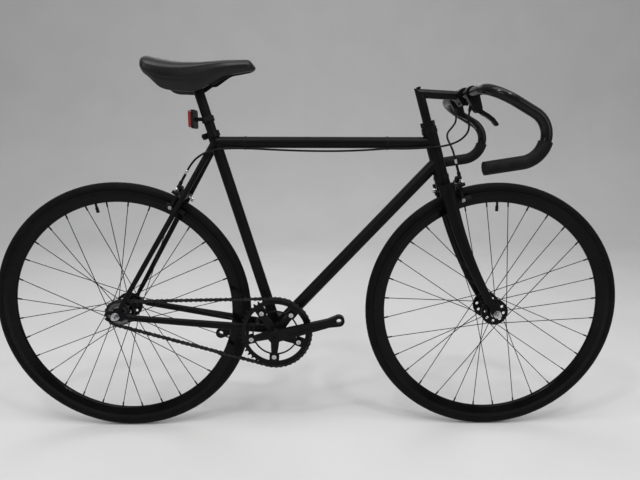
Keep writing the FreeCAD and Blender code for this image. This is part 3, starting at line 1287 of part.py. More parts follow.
def handlebar():
    ramp = math.radians(BAR_RAMP_ANGLE)
    heading = Vector(math.cos(ramp), 0, -math.sin(ramp))
    turn_axis = Y.cross(heading)
    bar = Vector(BAR_X, 0, BAR_Z)
    path = BarPath(bar, Y)
    path.run(BAR_HALF_WIDTH - BAR_TOP_BEND_R)
    path.bend(BAR_TOP_BEND_R, 90, turn_axis)
    path.run(BAR_RAMP - BAR_TOP_BEND_R)
    path.bend(BAR_DROP_R, BAR_DROP_BARE_ANGLE, Y)
    grip_path = BarPath(path.here, path.way)
    rest = 180 - BAR_RAMP_ANGLE - BAR_LOWER_ANGLE - BAR_DROP_BARE_ANGLE
    for part in (path, grip_path):
        part.bend(BAR_DROP_R, rest, Y)
        part.run(BAR_LOWER)
    halves = [swept(path.edges, radius) for radius in (BAR_R, BAR_R - BAR_WALL)]
    solid, core = [joined([half, mirrored(half)]) for half in halves]
    sleeve = rod(bar - Y * BAR_SLEEVE_HALF, bar + Y * BAR_SLEEVE_HALF, BAR_SLEEVE_R)
    keep("handlebar", single(joined([solid, sleeve]).cut(core)))
    rubber = swept(grip_path.edges, GRIP_R, BAR_R)
    cap = rod(grip_path.here, grip_path.here + grip_path.way * GRIP_CAP, GRIP_R)
    grip = joined([rubber, cap])
    keep("handlebar_grips", grip, mirrored(grip))


# Brakes
def lever_point(forward, down, y):
    return Vector(BAR_X + forward, y, BAR_Z - down)


def cable_stop():
    # Socket under the left bracket, leaning in towards the middle of the bar
    lean = math.radians(CABLE_STOP_LEAN)
    root = lever_point(CABLE_STOP_FORWARD, CABLE_STOP_DOWN, LEVER_Y - LEVER_HALF + CABLE_STOP_INSET)
    return root, root - Vector(0, math.sin(lean), math.cos(lean)) * CABLE_STOP


def levers():
    width = Y * 2 * LEVER_HALF
    start = LEVER_Y - LEVER_HALF
    pivot = lever_point(LEVER_PIVOT_FORWARD, LEVER_PIVOT_DOWN, 0)
    centre = lever_point(0, 0, 0)
    body = capsule(centre + Y * start, LEVER_BAND_R, pivot + Y * start, LEVER_KNUCKLE_R, width)
    bar = long_rod(centre + Y * start, centre + Y * start + width, BAR_R)
    slot_low = pivot + Y * (LEVER_Y - LEVER_SLOT_HALF)
    slot_depth = Y * 2 * LEVER_SLOT_HALF
    forward = slot_low + Vector(LEVER_REACH, 0, 0)
    down = slot_low - Vector(0, 0, LEVER_TIP_DOWN)
    slot = joined([capsule(slot_low, LEVER_SLOT_R, forward, LEVER_SLOT_R, slot_depth),
                   capsule(slot_low, LEVER_SLOT_R, down, LEVER_SLOT_R, slot_depth)])
    pin = rod(pivot + Y * start, pivot + Y * (start + 2 * LEVER_HALF), LEVER_PIN_R)
    stop = rod(*cable_stop(), CABLE_STOP_R)
    bracket = largest(joined([body, stop]).cut([bar, slot, pin]))
    keep("lever_brackets", bracket, pin, mirrored(bracket), mirrored(pin))

    hub_low = pivot + Y * (LEVER_Y - LEVER_HUB_HALF)
    blade_low = Y * (LEVER_Y - LEVER_BLADE_HALF)
    reach = LEVER_REACH - LEVER_PIVOT_FORWARD
    fall = LEVER_TIP_DOWN - LEVER_PIVOT_DOWN
    stops = []
    for along, downward in LEVER_BLADE_SHARES:
        radius = LEVER_NECK_R + (LEVER_TIP_R - LEVER_NECK_R) * along
        stops.append((pivot + Vector(reach * along, 0, -fall * downward), radius))
    neck = stops[0]
    neck_low = neck[0] + Y * (LEVER_Y - LEVER_HUB_HALF)
    hub = capsule(hub_low, LEVER_HUB_R, neck_low, neck[1], Y * 2 * LEVER_HUB_HALF)
    handle = limb([(p + blade_low, r) for p, r in stops], Y * 2 * LEVER_BLADE_HALF)
    room = rod(pivot + Y * start, pivot + Y * (start + 2 * LEVER_HALF), LEVER_SLOT_R)
    bore = rod(pivot + Y * start, pivot + Y * (start + 2 * LEVER_HALF), LEVER_PIN_R + RUN_GAP)
    lever = single(joined([hub, single(handle.cut(room))]).cut(bore))
    keep("brake_lever_left", lever)
    keep("brake_lever_right", mirrored(lever))


def caliper(name, place, offset, tail, cable, pad_shift):
    # The cable side arm holds the adjuster, and the other one crosses over to the wire's anchor
    first = X * offset
    second = X * (offset + ARM_T + ARM_GAP)
    depth = X * ARM_T
    end = offset + 2 * ARM_T + ARM_GAP
    front_nut = rod(X * (end + SIDE_GAP), X * (end + BRAKE_NUT), BRAKE_NUT_R)
    back_nut = rod(-X * (tail + BRAKE_NUT), -X * tail, BRAKE_NUT_R)
    spindle = rod(-X * tail, X * (end + BRAKE_NUT), BRAKE_BOLT_R)
    keep(name + "_brake_bolt", moved(joined([spindle, front_nut, back_nut]), place))
    bore = rod(X * (offset - OVERRUN), X * (end + OVERRUN), BRAKE_BOLT_R + RUN_GAP)
    near = [brake_arm(first, depth, cable), pad(first + depth / 2, cable, pad_shift)]
    far = [brake_arm(second, depth, -cable), pad(second + depth / 2, -cable, pad_shift)]

    pull = Y * cable * CABLE_Y
    wire_at = second + depth / 2 + pull
    tower = capsule(first + Z * UPPER_LEVER_R + Y * cable * ARM_BOSS_R, UPPER_LEVER_R,
                    first + pull + Z * UPPER_LEVER_Z, UPPER_LEVER_R, depth)
    yoke = rod(first + pull + Z * UPPER_LEVER_Z, X * end + pull + Z * UPPER_LEVER_Z, UPPER_LEVER_R)
    barrel = rod(wire_at + Z * UPPER_LEVER_Z, wire_at + Z * ADJUSTER_TOP_Z, ADJUSTER_R)
    knob = rod(wire_at + Z * (UPPER_LEVER_Z + UPPER_LEVER_R),
               wire_at + Z * (UPPER_LEVER_Z + UPPER_LEVER_R + ADJUSTER_KNOB), ADJUSTER_KNOB_R)
    drill = rod(wire_at, wire_at + Z * (ADJUSTER_TOP_Z + OVERRUN), ADJUSTER_BORE_R)
    upper = single(joined([near[0], tower, yoke, barrel, knob]).cut([bore, drill, near[1]]))

    low_lever = capsule(second, ARM_SHOULDER_R, second + pull + Z * LOWER_LEVER_Z, LOWER_LEVER_R, depth)
    anchor_at = X * end + pull + Z * LOWER_LEVER_Z
    anchor = rod(anchor_at, anchor_at + X * ANCHOR, ANCHOR_R)
    wire_low = LOWER_LEVER_Z - LOWER_LEVER_R - WIRE_TAIL
    wire = rod(wire_at + Z * wire_low, wire_at + Z * (ADJUSTER_TOP_Z - UPPER_LEVER_R), WIRE_R)
    wire_hole = rod(wire_at + Z * wire_low, wire_at + Z * UPPER_LEVER_Z, WIRE_HOLE_R)
    lower = single(joined([far[0], low_lever, anchor]).cut([bore, far[1], wire_hole]))
    keep(name + "_brake_arm_right", moved(upper, place), moved(near[1], place), moved(wire, place))
    keep(name + "_brake_arm_left", moved(lower, place), moved(far[1], place))


def brake_arm(start, depth, side):
    stops = [(start, ARM_BOSS_R),
             (start + Vector(0, side * ARM_SHOULDER_Y, ARM_SHOULDER_Z), ARM_SHOULDER_R),
             (start + Vector(0, side * ARM_ELBOW_Y, ARM_ELBOW_Z), ARM_SHOULDER_R),
             (start + Vector(0, side * ARM_FOOT_Y, PAD_Z), ARM_FOOT_R)]
    return limb(stops, depth)


def pad(centre, side, shift):
    at = centre + Z * PAD_Z
    low, high = sorted((side * PAD_FACE_Y, side * (PAD_FACE_Y + PAD_T)))
    shoe = block(at + Vector(shift - PAD_HALF_LENGTH, low, -PAD_HALF_HEIGHT),
                 at + Vector(shift + PAD_HALF_LENGTH, high, PAD_HALF_HEIGHT))
    outer = ARM_FOOT_Y + ARM_FOOT_R
    stud = rod(at + Y * side * PAD_FACE_Y, at + Y * side * outer, PAD_STUD_R)
    nut = rod(at + Y * side * outer, at + Y * side * (outer + PAD_NUT), PAD_NUT_R)
    return joined([shoe, stud, nut])


def calipers():
    caliper("front", FRONT_BRAKE, FRONT_ARM_OFFSET, FRONT_BOLT_TAIL, -1, FRONT_PAD_SHIFT)
    caliper("rear", REAR_BRAKE, REAR_ARM_OFFSET, REAR_BOLT_TAIL, 1, REAR_PAD_SHIFT)


def adjuster_top(place, offset, cable):
    x = offset + ARM_T + ARM_GAP + ARM_T / 2
    return place.multVec(Vector(x, cable * CABLE_Y, ADJUSTER_TOP_Z + SIDE_GAP)), place.Rotation.multVec(Z)


def housing(node, points, ferrule_way=None):
    edges, radii = soft_route(points)
    cord = swept(edges, HOUSING_R)
    keep(node, cord)
    length = sum(edge.Length for edge in edges)
    print(node, "length", round(length), "fill", cord.Volume / (math.pi * HOUSING_R ** 2 * length))
    print("arc radii", [round(r) for r in radii])
    if ferrule_way:
        keep(node, pipe(points[-1], points[-1] - ferrule_way * FERRULE, FERRULE_R, FERRULE_BORE_R))
    return cord


def cables():
    root, stop = cable_stop()
    lead = stop + (stop - root).normalize() * CABLE_LEAD
    front_route = [Vector(*p) for p in FRONT_HOUSING_ROUTE]
    top, up = adjuster_top(FRONT_BRAKE, FRONT_ARM_OFFSET, -1)
    front_end = [top + up * FERRULE_LEAD, top + up * FERRULE]
    housing("front_brake_cable", [stop, lead] + front_route + front_end, up)
    start = Vector(stop.x, -stop.y, stop.z)
    lead = Vector(lead.x, -lead.y, lead.z)
    fork_route = [Vector(*p) for p in REAR_HOUSING_FRONT_ROUTE]
    frame_route = [Vector(*p) for p in REAR_HOUSING_ROUTE]
    split = (fork_route[-1] + frame_route[0]) / 2
    housing("rear_brake_cable_front", [start, lead] + fork_route + [split])
    top, up = adjuster_top(REAR_BRAKE, REAR_ARM_OFFSET, 1)
    rear_end = [top + up * FERRULE_LEAD, top + up * FERRULE]
    cord = housing("rear_brake_cable", [split] + frame_route + rear_end, up)
    for x in CLIP_XS:
        low = Vector(x - CLIP_HALF, 0, TOP_TUBE_Z)
        high = Vector(x + CLIP_HALF, 0, TOP_TUBE_Z)
        loop_low = Vector(x - CLIP_HALF, CLIP_CABLE_Y, CLIP_CABLE_Z)
        loop_high = Vector(x + CLIP_HALF, CLIP_CABLE_Y, CLIP_CABLE_Z)
        band = rod(low, high, TOP_TUBE_R + CLIP_T)
        loop = rod(loop_low, loop_high, HOUSING_R + CLIP_T)
        holes = [long_rod(low, high, TOP_TUBE_R), long_rod(loop_low, loop_high, HOUSING_R), cord]
        keep("cable_clips", largest(joined([band, loop]).cut(holes)))


# Seat
def saddle_section(x, half_w, top, low):
    bottom_w = half_w * SADDLE_BOTTOM_SHARE
    shoulder = top - half_w * SADDLE_CROWN_SHARE
    bulge = half_w * (1 + SADDLE_BULGE_SHARE)
    middle = (low + shoulder) / 2
    left, right = Vector(x, half_w, shoulder), Vector(x, -half_w, shoulder)
    left_low, right_low = Vector(x, bottom_w, low), Vector(x, -bottom_w, low)
    side_w = (bottom_w + bulge) / 2
    edges = [
        Part.LineSegment(left_low, right_low),
        Part.Arc(right_low, Vector(x, -side_w, middle), right),
        Part.Arc(right, Vector(x, 0, top), left),
        Part.Arc(left, Vector(x, side_w, middle), left_low),
    ]
    return Part.Wire([edge.toShape() for edge in edges])


def saddle_stations():
    base = SADDLE_TOP_Z - SADDLE_DEPTH
    for along, wide, top, low in SADDLE_STATION_SHARES:
        yield (SADDLE_NOSE_X - SADDLE_LENGTH * along, SADDLE_HALF_W * wide,
               base + SADDLE_DEPTH * top, base + SADDLE_DEPTH * low)


def saddle():
    stations = list(saddle_stations())
    outer = Part.makeLoft([saddle_section(*station) for station in stations], True, False)
    inner = []
    for x, half_w, top, low in stations[2:-1]:
        inner.append(saddle_section(x, half_w - SADDLE_SKIRT, top - SADDLE_PAD, low - OVERRUN))
    hollow = Part.makeLoft(inner, True, False)
    rails = rail_pair()
    keep("saddle", largest(outer.cut([hollow] + rails)))
    keep("saddle_rails", *rails)

    post_low = (SEAT_TUBE_TOP_Z - BB.z) / SEAT_COS - SEATPOST_BELOW
    post_high = (SEATPOST_TOP_Z - BB.z) / SEAT_COS
    clamp_at = seat_axis(RAIL_Z)
    cradle = rod(clamp_at - Y * CRADLE_HALF, clamp_at + Y * CRADLE_HALF, CRADLE_R)
    post = moved(collar(post_low, post_high, SEATPOST_R, SEATPOST_R - SEATPOST_WALL), SEAT)
    span = CRADLE_R + OVERRUN
    wide = CRADLE_HALF + OVERRUN
    lower_cut = block(clamp_at + Vector(-span, -wide, -CRADLE_GAP / 2), clamp_at + Vector(span, wide, span))
    upper_cut = block(clamp_at + Vector(-span, -wide, -span), clamp_at + Vector(span, wide, CRADLE_GAP / 2))
    bolt = rod(clamp_at - Z * CRADLE_R, clamp_at + Z * CRADLE_R, CRADLE_BOLT_R)
    nut = rod(clamp_at + Z * CRADLE_R, clamp_at + Z * (CRADLE_R + CRADLE_BOLT_HEAD), CRADLE_BOLT_HEAD_R)
    keep("seatpost", single(post.cut(cradle)))
    lower = cradle.cut([lower_cut, bolt] + rails)
    upper = cradle.cut([upper_cut, bolt] + rails)
    keep("saddle_clamp", largest(lower), largest(upper), joined([bolt, nut]))


def rail_pair():
    base = SADDLE_TOP_Z - SADDLE_DEPTH
    points = []
    for along, wide, high in RAIL_SHARES:
        x = SADDLE_NOSE_X - SADDLE_LENGTH * along
        points.append(Vector(x, SADDLE_HALF_W * wide, base + SADDLE_DEPTH * high))
    edges = rounded_edges(points, [RAIL_BEND_R] * (len(points) - 2))
    rail = swept(edges, RAIL_R)
    return [rail, mirrored(rail)]


def reflector():
    axis = (REFLECTOR_Z - BB.z) / SEAT_COS
    place = FreeCAD.Placement(seat_axis(REFLECTOR_Z), FreeCAD.Rotation())
    band = collar(axis - REFLECTOR_BAND / 2, axis + REFLECTOR_BAND / 2, REFLECTOR_BAND_R, SEATPOST_R)
    post = moved(rod(Z * (axis - REFLECTOR_BAND), Z * (axis + REFLECTOR_BAND), SEATPOST_R), SEAT)
    knuckle = Vector(-REFLECTOR_KNUCKLE_OUT, 0, 0)
    arm_low = Y * -REFLECTOR_ARM_HALF
    arm = capsule(arm_low, REFLECTOR_KNUCKLE_R, knuckle + arm_low, REFLECTOR_KNUCKLE_R,
                  Y * 2 * REFLECTOR_ARM_HALF)
    pin_half = REFLECTOR_ARM_HALF + SIDE_GAP + REFLECTOR_EAR
    pin = rod(knuckle - Y * pin_half, knuckle + Y * pin_half, REFLECTOR_PIN_R)
    bracket = joined([moved(band, SEAT), single(moved(arm, place).cut(post)), moved(pin, place)])
    keep("reflector_bracket", bracket)

    ears = []
    back_face = Vector(-REFLECTOR_BACK_OUT, 0, 0)
    for side in (-1, 1):
        low, high = sorted((side * (REFLECTOR_ARM_HALF + SIDE_GAP), side * pin_half))
        depth = Y * (high - low)
        root, tip = knuckle + Y * low, back_face + Y * low
        ears.append(capsule(root, REFLECTOR_KNUCKLE_R, tip, REFLECTOR_KNUCKLE_R, depth))
    shell = rounded_plate(back_face, REFLECTOR_BACK, 0)
    bore = rod(knuckle - Y * REFLECTOR_HALF_W, knuckle + Y * REFLECTOR_HALF_W, REFLECTOR_PIN_R + RUN_GAP)
    housing_body = joined([shell] + ears).cut([bore])
    lens = rounded_plate(back_face - X * REFLECTOR_BACK, REFLECTOR_LENS, REFLECTOR_RIM)
    keep("reflector", moved(largest(housing_body), place), moved(lens, place))


def rounded_plate(face_at, thick, inset):
    half_w = REFLECTOR_HALF_W - inset
    half_h = REFLECTOR_HALF_H - inset
    plate = block(face_at - Vector(thick, half_w, half_h), face_at + Vector(0, half_w, half_h))
    corners = [edge for edge in plate.Edges if abs(edge.tangentAt(edge.FirstParameter).x) > 1 / 2]
    return plate.makeFillet(REFLECTOR_CORNER_R - inset, corners)


shell_solid, seat_solid = frame_tubes()
stays(shell_solid, seat_solid)
seat_clamp()
bottom_bracket()
cranks()
chainring()
cog()
chain()
wheels()
fork()
headset()
stem()
handlebar()
levers()
calipers()
cables()
saddle()
reflector()

os.makedirs("parts", exist_ok=True)
for node, shapes in NODES.items():
    whole = shapes[0] if len(shapes) == 1 else Part.makeCompound(shapes)
    whole.exportStep("parts/" + node + ".step")
print("nodes", len(NODES), "solids", sum(len(s.Solids) for shapes in NODES.values() for s in shapes))
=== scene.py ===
import json
import math

import bmesh
import bpy
from mathutils import Matrix, Vector


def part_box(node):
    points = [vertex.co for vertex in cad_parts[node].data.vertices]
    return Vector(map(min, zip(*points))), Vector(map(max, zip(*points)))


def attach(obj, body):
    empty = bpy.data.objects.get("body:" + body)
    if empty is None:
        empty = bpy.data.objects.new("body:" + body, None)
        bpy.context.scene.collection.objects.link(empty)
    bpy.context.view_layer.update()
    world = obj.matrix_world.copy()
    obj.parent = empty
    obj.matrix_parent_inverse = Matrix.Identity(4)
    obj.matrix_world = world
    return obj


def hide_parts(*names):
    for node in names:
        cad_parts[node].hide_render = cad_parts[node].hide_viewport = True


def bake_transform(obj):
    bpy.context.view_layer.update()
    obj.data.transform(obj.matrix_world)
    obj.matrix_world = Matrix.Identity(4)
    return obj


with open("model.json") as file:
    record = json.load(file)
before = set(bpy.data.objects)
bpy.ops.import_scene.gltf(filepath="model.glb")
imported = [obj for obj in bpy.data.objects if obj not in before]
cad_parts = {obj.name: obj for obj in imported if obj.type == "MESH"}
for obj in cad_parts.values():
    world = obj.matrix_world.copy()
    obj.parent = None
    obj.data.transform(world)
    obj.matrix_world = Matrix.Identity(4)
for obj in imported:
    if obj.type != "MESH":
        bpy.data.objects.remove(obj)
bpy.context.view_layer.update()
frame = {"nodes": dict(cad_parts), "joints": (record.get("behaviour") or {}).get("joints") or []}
nodes = frame["nodes"]
joints = {joint["name"]: joint for joint in frame["joints"]}
scene = bpy.context.scene
scene.view_settings.view_transform = "Standard"

# Camera of the photograph: place in metres, turns in radians
IMAGE_W = 640
FOCAL_PX = 480
SENSOR_MM = 36
CAMERA_AT = (0.01736, -1.2365, 0.757436)
CAMERA_YAW = -0.011
CAMERA_PITCH = 0.187
CAMERA_ROLL = -0.002


# Sizes and places that the materials take from the frame, in metres
def half_height(node):
    low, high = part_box(node)
    return (high.z - low.z) / 2


TYRE_R = half_height("front_tyre")
RIM_EDGE_R = half_height("front_rim")
FRONT_HUB = Vector(joints["front_wheel_spin"]["pos_m"])
REAR_HUB = Vector(joints["rear_wheel_spin"]["pos_m"])


# Camera, light and stage
def camera():
    turn = (Matrix.Rotation(CAMERA_YAW, 3, "Z") @ Matrix.Rotation(-CAMERA_PITCH, 3, "X")
            @ Matrix.Rotation(CAMERA_ROLL, 3, "Y"))
    right, ahead, up = turn.col
    data = bpy.data.cameras.new("camera")
    data.sensor_width = SENSOR_MM
    data.lens = SENSOR_MM * FOCAL_PX / IMAGE_W
    obj = bpy.data.objects.new("camera", data)
    basis = Matrix((right, up, -ahead)).transposed().to_4x4()
    obj.matrix_world = Matrix.Translation(CAMERA_AT) @ basis
    scene.collection.objects.link(obj)
    scene.camera = obj


# Lamps: place, size and power, all turned to the middle of the object
LIGHT_TARGET = Vector((0.0, 0.0, 0.5))
LAMPS = {
    "top": ((0.1, -0.7, 2.9), (3.2, 1.2), 36.0),
    "spot_left": ((-0.7, -1.3, 2.6), (0.2, 0.2), 9.0),
    "spot_right": ((0.8, -1.3, 2.6), (0.2, 0.2), 9.0),
    "front_left": ((-2.2, -2.4, 1.9), (1.6, 1.6), 15.0),
    "front_right": ((2.4, -2.2, 1.5), (1.4, 1.4), 10.0),
    "behind": ((-0.4, 2.2, 2.4), (3.0, 1.0), 14.0),
}
WORLD_LOW = (0.16, 0.16, 0.165)
WORLD_HIGH = (0.72, 0.73, 0.76)


def lamp(name, at, size, power):
    data = bpy.data.lights.new(name, "AREA")
    data.shape = "RECTANGLE"
    data.size, data.size_y = size
    data.energy = power
    obj = bpy.data.objects.new(name, data)
    obj.location = at
    obj.rotation_euler = (LIGHT_TARGET - Vector(at)).to_track_quat("-Z", "Y").to_euler()
    scene.collection.objects.link(obj)


def sky():
    # Soft room light, brighter from above
    world = bpy.data.worlds.new("studio")
    world.use_nodes = True
    scene.world = world
    tree = world.node_tree
    ways = tree.nodes.new("ShaderNodeTexCoord")
    parts = tree.nodes.new("ShaderNodeSeparateXYZ")
    ramp = tree.nodes.new("ShaderNodeValToRGB")
    for element, colour in zip(ramp.color_ramp.elements, (WORLD_LOW, WORLD_HIGH)):
        element.color = (*colour, 1.0)
    tree.links.new(ways.outputs["Generated"], parts.inputs["Vector"])
    tree.links.new(parts.outputs["Z"], ramp.inputs["Fac"])
    tree.links.new(ramp.outputs["Color"], tree.nodes["Background"].inputs["Color"])


def light():
    sky()
    for name, (at, size, power) in LAMPS.items():
        lamp(name, at, size, power)


# Stage: a floor that bends up into a wall behind the object, in metres
STAGE_HALF = 14.0
STAGE_BEND_AT = 2.6
STAGE_BEND_R = 1.4
STAGE_TOP = 5.0
STAGE_STEPS = 16
FLOOR_DARK = (0.63, 0.625, 0.615)
FLOOR_PALE = (0.66, 0.655, 0.645)
FLOOR_DRIFT = 3.0
FLOOR_ROUGH = (0.6, 0.8)


def stage():
    profile = [(-STAGE_HALF, 0.0), (STAGE_BEND_AT, 0.0)]
    for k in range(1, STAGE_STEPS + 1):
        a = math.pi / 2 * k / STAGE_STEPS
        profile.append((STAGE_BEND_AT + STAGE_BEND_R * math.sin(a), STAGE_BEND_R * (1 - math.cos(a))))
    profile.append((STAGE_BEND_AT + STAGE_BEND_R, STAGE_TOP))
    verts = [(x, y, z) for y, z in profile for x in (-STAGE_HALF, STAGE_HALF)]
    faces = [(2 * k, 2 * k + 1, 2 * k + 3, 2 * k + 2) for k in range(len(profile) - 1)]
    mesh = bpy.data.meshes.new("studio_floor")
    mesh.from_pydata(verts, [], faces)
    mesh.shade_smooth()
    floor = bpy.data.objects.new("studio_floor", mesh)
    scene.collection.objects.link(floor)
    mesh.materials.append(grained("studio_floor", FLOOR_DARK, FLOOR_PALE, FLOOR_DRIFT, FLOOR_ROUGH))


# Materials: range of the noise that colours and roughness take up, and the detail of fine noise
DRIFT_LOW = 0.3
DRIFT_HIGH = 0.7
FINE_DETAIL = 2.0


class Shader:
    # One material with its principled shader and short ways to add nodes
    def __init__(self, name):
        self.material = bpy.data.materials.new(name)
        self.material.use_nodes = True
        self.tree = self.material.node_tree
        self.main = self.tree.nodes["Principled BSDF"]
        self.place = self.node("ShaderNodeTexCoord").outputs["Object"]

    def node(self, kind, **settings):
        made = self.tree.nodes.new(kind)
        for key, value in settings.items():
            setattr(made, key, value)
        return made

    def link(self, source, target):
        self.tree.links.new(source, target)

    def fixed(self, **values):
        for key, value in values.items():
            self.main.inputs[key.replace("_", " ")].default_value = value

    def math(self, operation, first, second=0.0):
        made = self.node("ShaderNodeMath", operation=operation)
        for slot, value in zip(made.inputs, (first, second)):
            if isinstance(value, (int, float)):
                slot.default_value = value
            else:
                self.link(value, slot)
        return made.outputs["Value"]

    def times(self, first, second):
        return self.math("MULTIPLY", first, second)

    def plus(self, first, second):
        return self.math("ADD", first, second)

    def noise(self, scale, detail=4.0):
        made = self.node("ShaderNodeTexNoise")
        made.inputs["Scale"].default_value = scale
        made.inputs["Detail"].default_value = detail
        self.link(self.place, made.inputs["Vector"])
        return made.outputs["Fac"]

    def cells(self, scale, feature):
        made = self.node("ShaderNodeTexVoronoi", feature=feature)
        made.inputs["Scale"].default_value = scale
        self.link(self.place, made.inputs["Vector"])
        return made.outputs["Distance"]

    def spread(self, value, low, high):
        made = self.node("ShaderNodeMapRange")
        made.clamp = True
        self.link(value, made.inputs["Value"])
        made.inputs["From Min"].default_value = DRIFT_LOW
        made.inputs["From Max"].default_value = DRIFT_HIGH
        made.inputs["To Min"].default_value = low
        made.inputs["To Max"].default_value = high
        return made.outputs["Result"]

    def colours(self, value, stops):
        made = self.node("ShaderNodeValToRGB")
        ramp = made.color_ramp
        while len(ramp.elements) < len(stops):
            ramp.elements.new(1.0)
        for element, (at, colour) in zip(ramp.elements, stops):
            element.position = at
            element.color = (*colour, 1.0)
        self.link(value, made.inputs["Fac"])
        return made.outputs["Color"]

    def base(self, colour):
        self.link(colour, self.main.inputs["Base Color"])

    def rough(self, value):
        self.link(value, self.main.inputs["Roughness"])

    def bump(self, height, distance, strength=1.0):
        made = self.node("ShaderNodeBump")
        made.inputs["Strength"].default_value = strength
        made.inputs["Distance"].default_value = distance
        self.link(height, made.inputs["Height"])
        self.link(made.outputs["Normal"], self.main.inputs["Normal"])

    def wheel(self, hub):
        # Radius, angle and sideways place around a hub
        moved = self.node("ShaderNodeVectorMath", operation="SUBTRACT")
        self.link(self.place, moved.inputs[0])
        moved.inputs[1].default_value = hub
        parts = self.node("ShaderNodeSeparateXYZ")
        self.link(moved.outputs["Vector"], parts.inputs["Vector"])
        x, y, z = (parts.outputs[axis] for axis in "XYZ")
        radius = self.math("SQRT", self.plus(self.times(x, x), self.times(z, z)))
        return radius, self.math("ARCTAN2", z, x), y


# Heights of the surface grain, in metres
SPOKE_LIFT = 0.00002
METAL_LIFT = 0.00003
STEEL_LIFT = 0.00004
PAINT_LIFT = 0.00004
RIM_LIFT = 0.00008
PLASTIC_LIFT = 0.00008
PAD_LIFT = 0.0001
GRIP_LIFT = 0.00022
VINYL_LIFT = 0.00025
TREAD_LIFT = 0.0004
PRISM_LIFT = 0.0006


# Plain grain: how many times finer the roughness drifts than the colour, and the detail of the lift
ROUGH_FINER = 3
GRAIN_DETAIL = 3.0


def grained(name, dark, pale, drift, rough, grain=0, lift=0, metallic=0.0, specular=0.5):
    # Colour and roughness drift slowly, and a fine grain lifts the surface
    shader = Shader(name)
    shader.base(shader.colours(shader.noise(drift), ((DRIFT_LOW, dark), (DRIFT_HIGH, pale))))
    shader.rough(shader.spread(shader.noise(drift * ROUGH_FINER), *rough))
    shader.fixed(Metallic=metallic, Specular_IOR_Level=specular)
    if lift:
        shader.bump(shader.noise(grain, detail=GRAIN_DETAIL), lift)
    return shader.material


# Frame paint: scales of its noises, noise over which dust shows and its weight, colours and shine
PAINT_DRIFT = 9.0
PAINT_DUST = 900.0
PAINT_SHINE = 40.0
PAINT_PEEL = 1400.0
DUST_OVER = 0.70
DUST_WEIGHT = 0.25
PAINT_COLOURS = (
    (DRIFT_LOW, (0.003, 0.003, 0.0034)), (DRIFT_HIGH, (0.005, 0.005, 0.0056)), (1.0, (0.02, 0.02, 0.02)))
PAINT_ROUGH = (0.32, 0.42)
PAINT_SPECULAR = 0.08


def frame_paint():
    # Satin black powder paint with a fine orange peel and faint dust
    shader = Shader("frame_paint")
    specks = shader.math("GREATER_THAN", shader.noise(PAINT_DUST, detail=FINE_DETAIL), DUST_OVER)
    mixed = shader.plus(shader.noise(PAINT_DRIFT), shader.times(specks, DUST_WEIGHT))
    shader.base(shader.colours(mixed, PAINT_COLOURS))
    shader.rough(shader.spread(shader.noise(PAINT_SHINE), *PAINT_ROUGH))
    shader.fixed(Specular_IOR_Level=PAINT_SPECULAR)
    shader.bump(shader.noise(PAINT_PEEL, detail=FINE_DETAIL), PAINT_LIFT)
    return shader.material


# Tyre tread: depth of the patterned band, half width of the plain centre line, and the pattern's turns
TREAD_DEPTH = 0.007
CENTRE_HALF = 0.0025
FILE_ROUND = 330.0
FILE_ACROSS = 1500.0
FILE_OVER = 0.55
SIDE_RINGS = 5200.0
RINGS_WEIGHT = 0.15
# Tyre rubber: scales, weight and detail of its noises, strength of the relief, colours and shine
TYRE_GRAIN = 2200.0
TYRE_GRAIN_WEIGHT = 0.4
TYRE_RELIEF = 0.9
TYRE_DRIFT = 30.0
TYRE_DETAIL = 6.0
TYRE_COLOURS = ((DRIFT_LOW, (0.003, 0.003, 0.0034)), (0.75, (0.006, 0.006, 0.0065)))
TYRE_ROUGH = (0.46, 0.60)
TYRE_SPECULAR = 0.06


def tyre_rubber(name, hub):
    # Moulded side rings, a file tread on the shoulders and a smooth centre line
    shader = Shader(name)
    radius, angle, side = shader.wheel(hub)
    tread = shader.math("GREATER_THAN", radius, TYRE_R - TREAD_DEPTH)
    shoulder = shader.math("GREATER_THAN", shader.math("ABSOLUTE", side), CENTRE_HALF)
    along = shader.times(angle, FILE_ROUND)
    across = shader.times(side, FILE_ACROSS)
    slant = shader.math("SINE", shader.plus(along, across))
    counter = shader.math("SINE", shader.math("SUBTRACT", along, across))
    file = shader.math("GREATER_THAN", shader.math("MAXIMUM", slant, counter), FILE_OVER)
    file = shader.times(shader.times(file, tread), shoulder)
    rings = shader.times(shader.math("SINE", shader.times(radius, SIDE_RINGS)), RINGS_WEIGHT)
    grain = shader.times(shader.noise(TYRE_GRAIN, detail=FINE_DETAIL), TYRE_GRAIN_WEIGHT)
    shader.bump(shader.plus(shader.plus(file, rings), grain), TREAD_LIFT, TYRE_RELIEF)
    drift = shader.noise(TYRE_DRIFT, detail=TYRE_DETAIL)
    shader.base(shader.colours(drift, TYRE_COLOURS))
    shader.rough(shader.spread(drift, *TYRE_ROUGH))
    shader.fixed(Specular_IOR_Level=TYRE_SPECULAR)
    return shader.material


# Brake track of the rim: its height, and the pitch, weight and wear of its turning lines
RIM_TRACK = 0.011
TURNING_LINES = 14000.0
LINES_WEIGHT = 0.5
TRACK_WEAR = 0.06
# Rim: scales, weight and detail of its noises, colours and shine
RIM_GRAIN = 1600.0
RIM_GRAIN_WEIGHT = 0.3
RIM_DRIFT = 16.0
RIM_DETAIL = 5.0
RIM_COLOURS = ((DRIFT_LOW, (0.002, 0.002, 0.0024)), (DRIFT_HIGH, (0.004, 0.004, 0.0045)))
RIM_ROUGH = (0.10, 0.17)
RIM_SPECULAR = 0.10


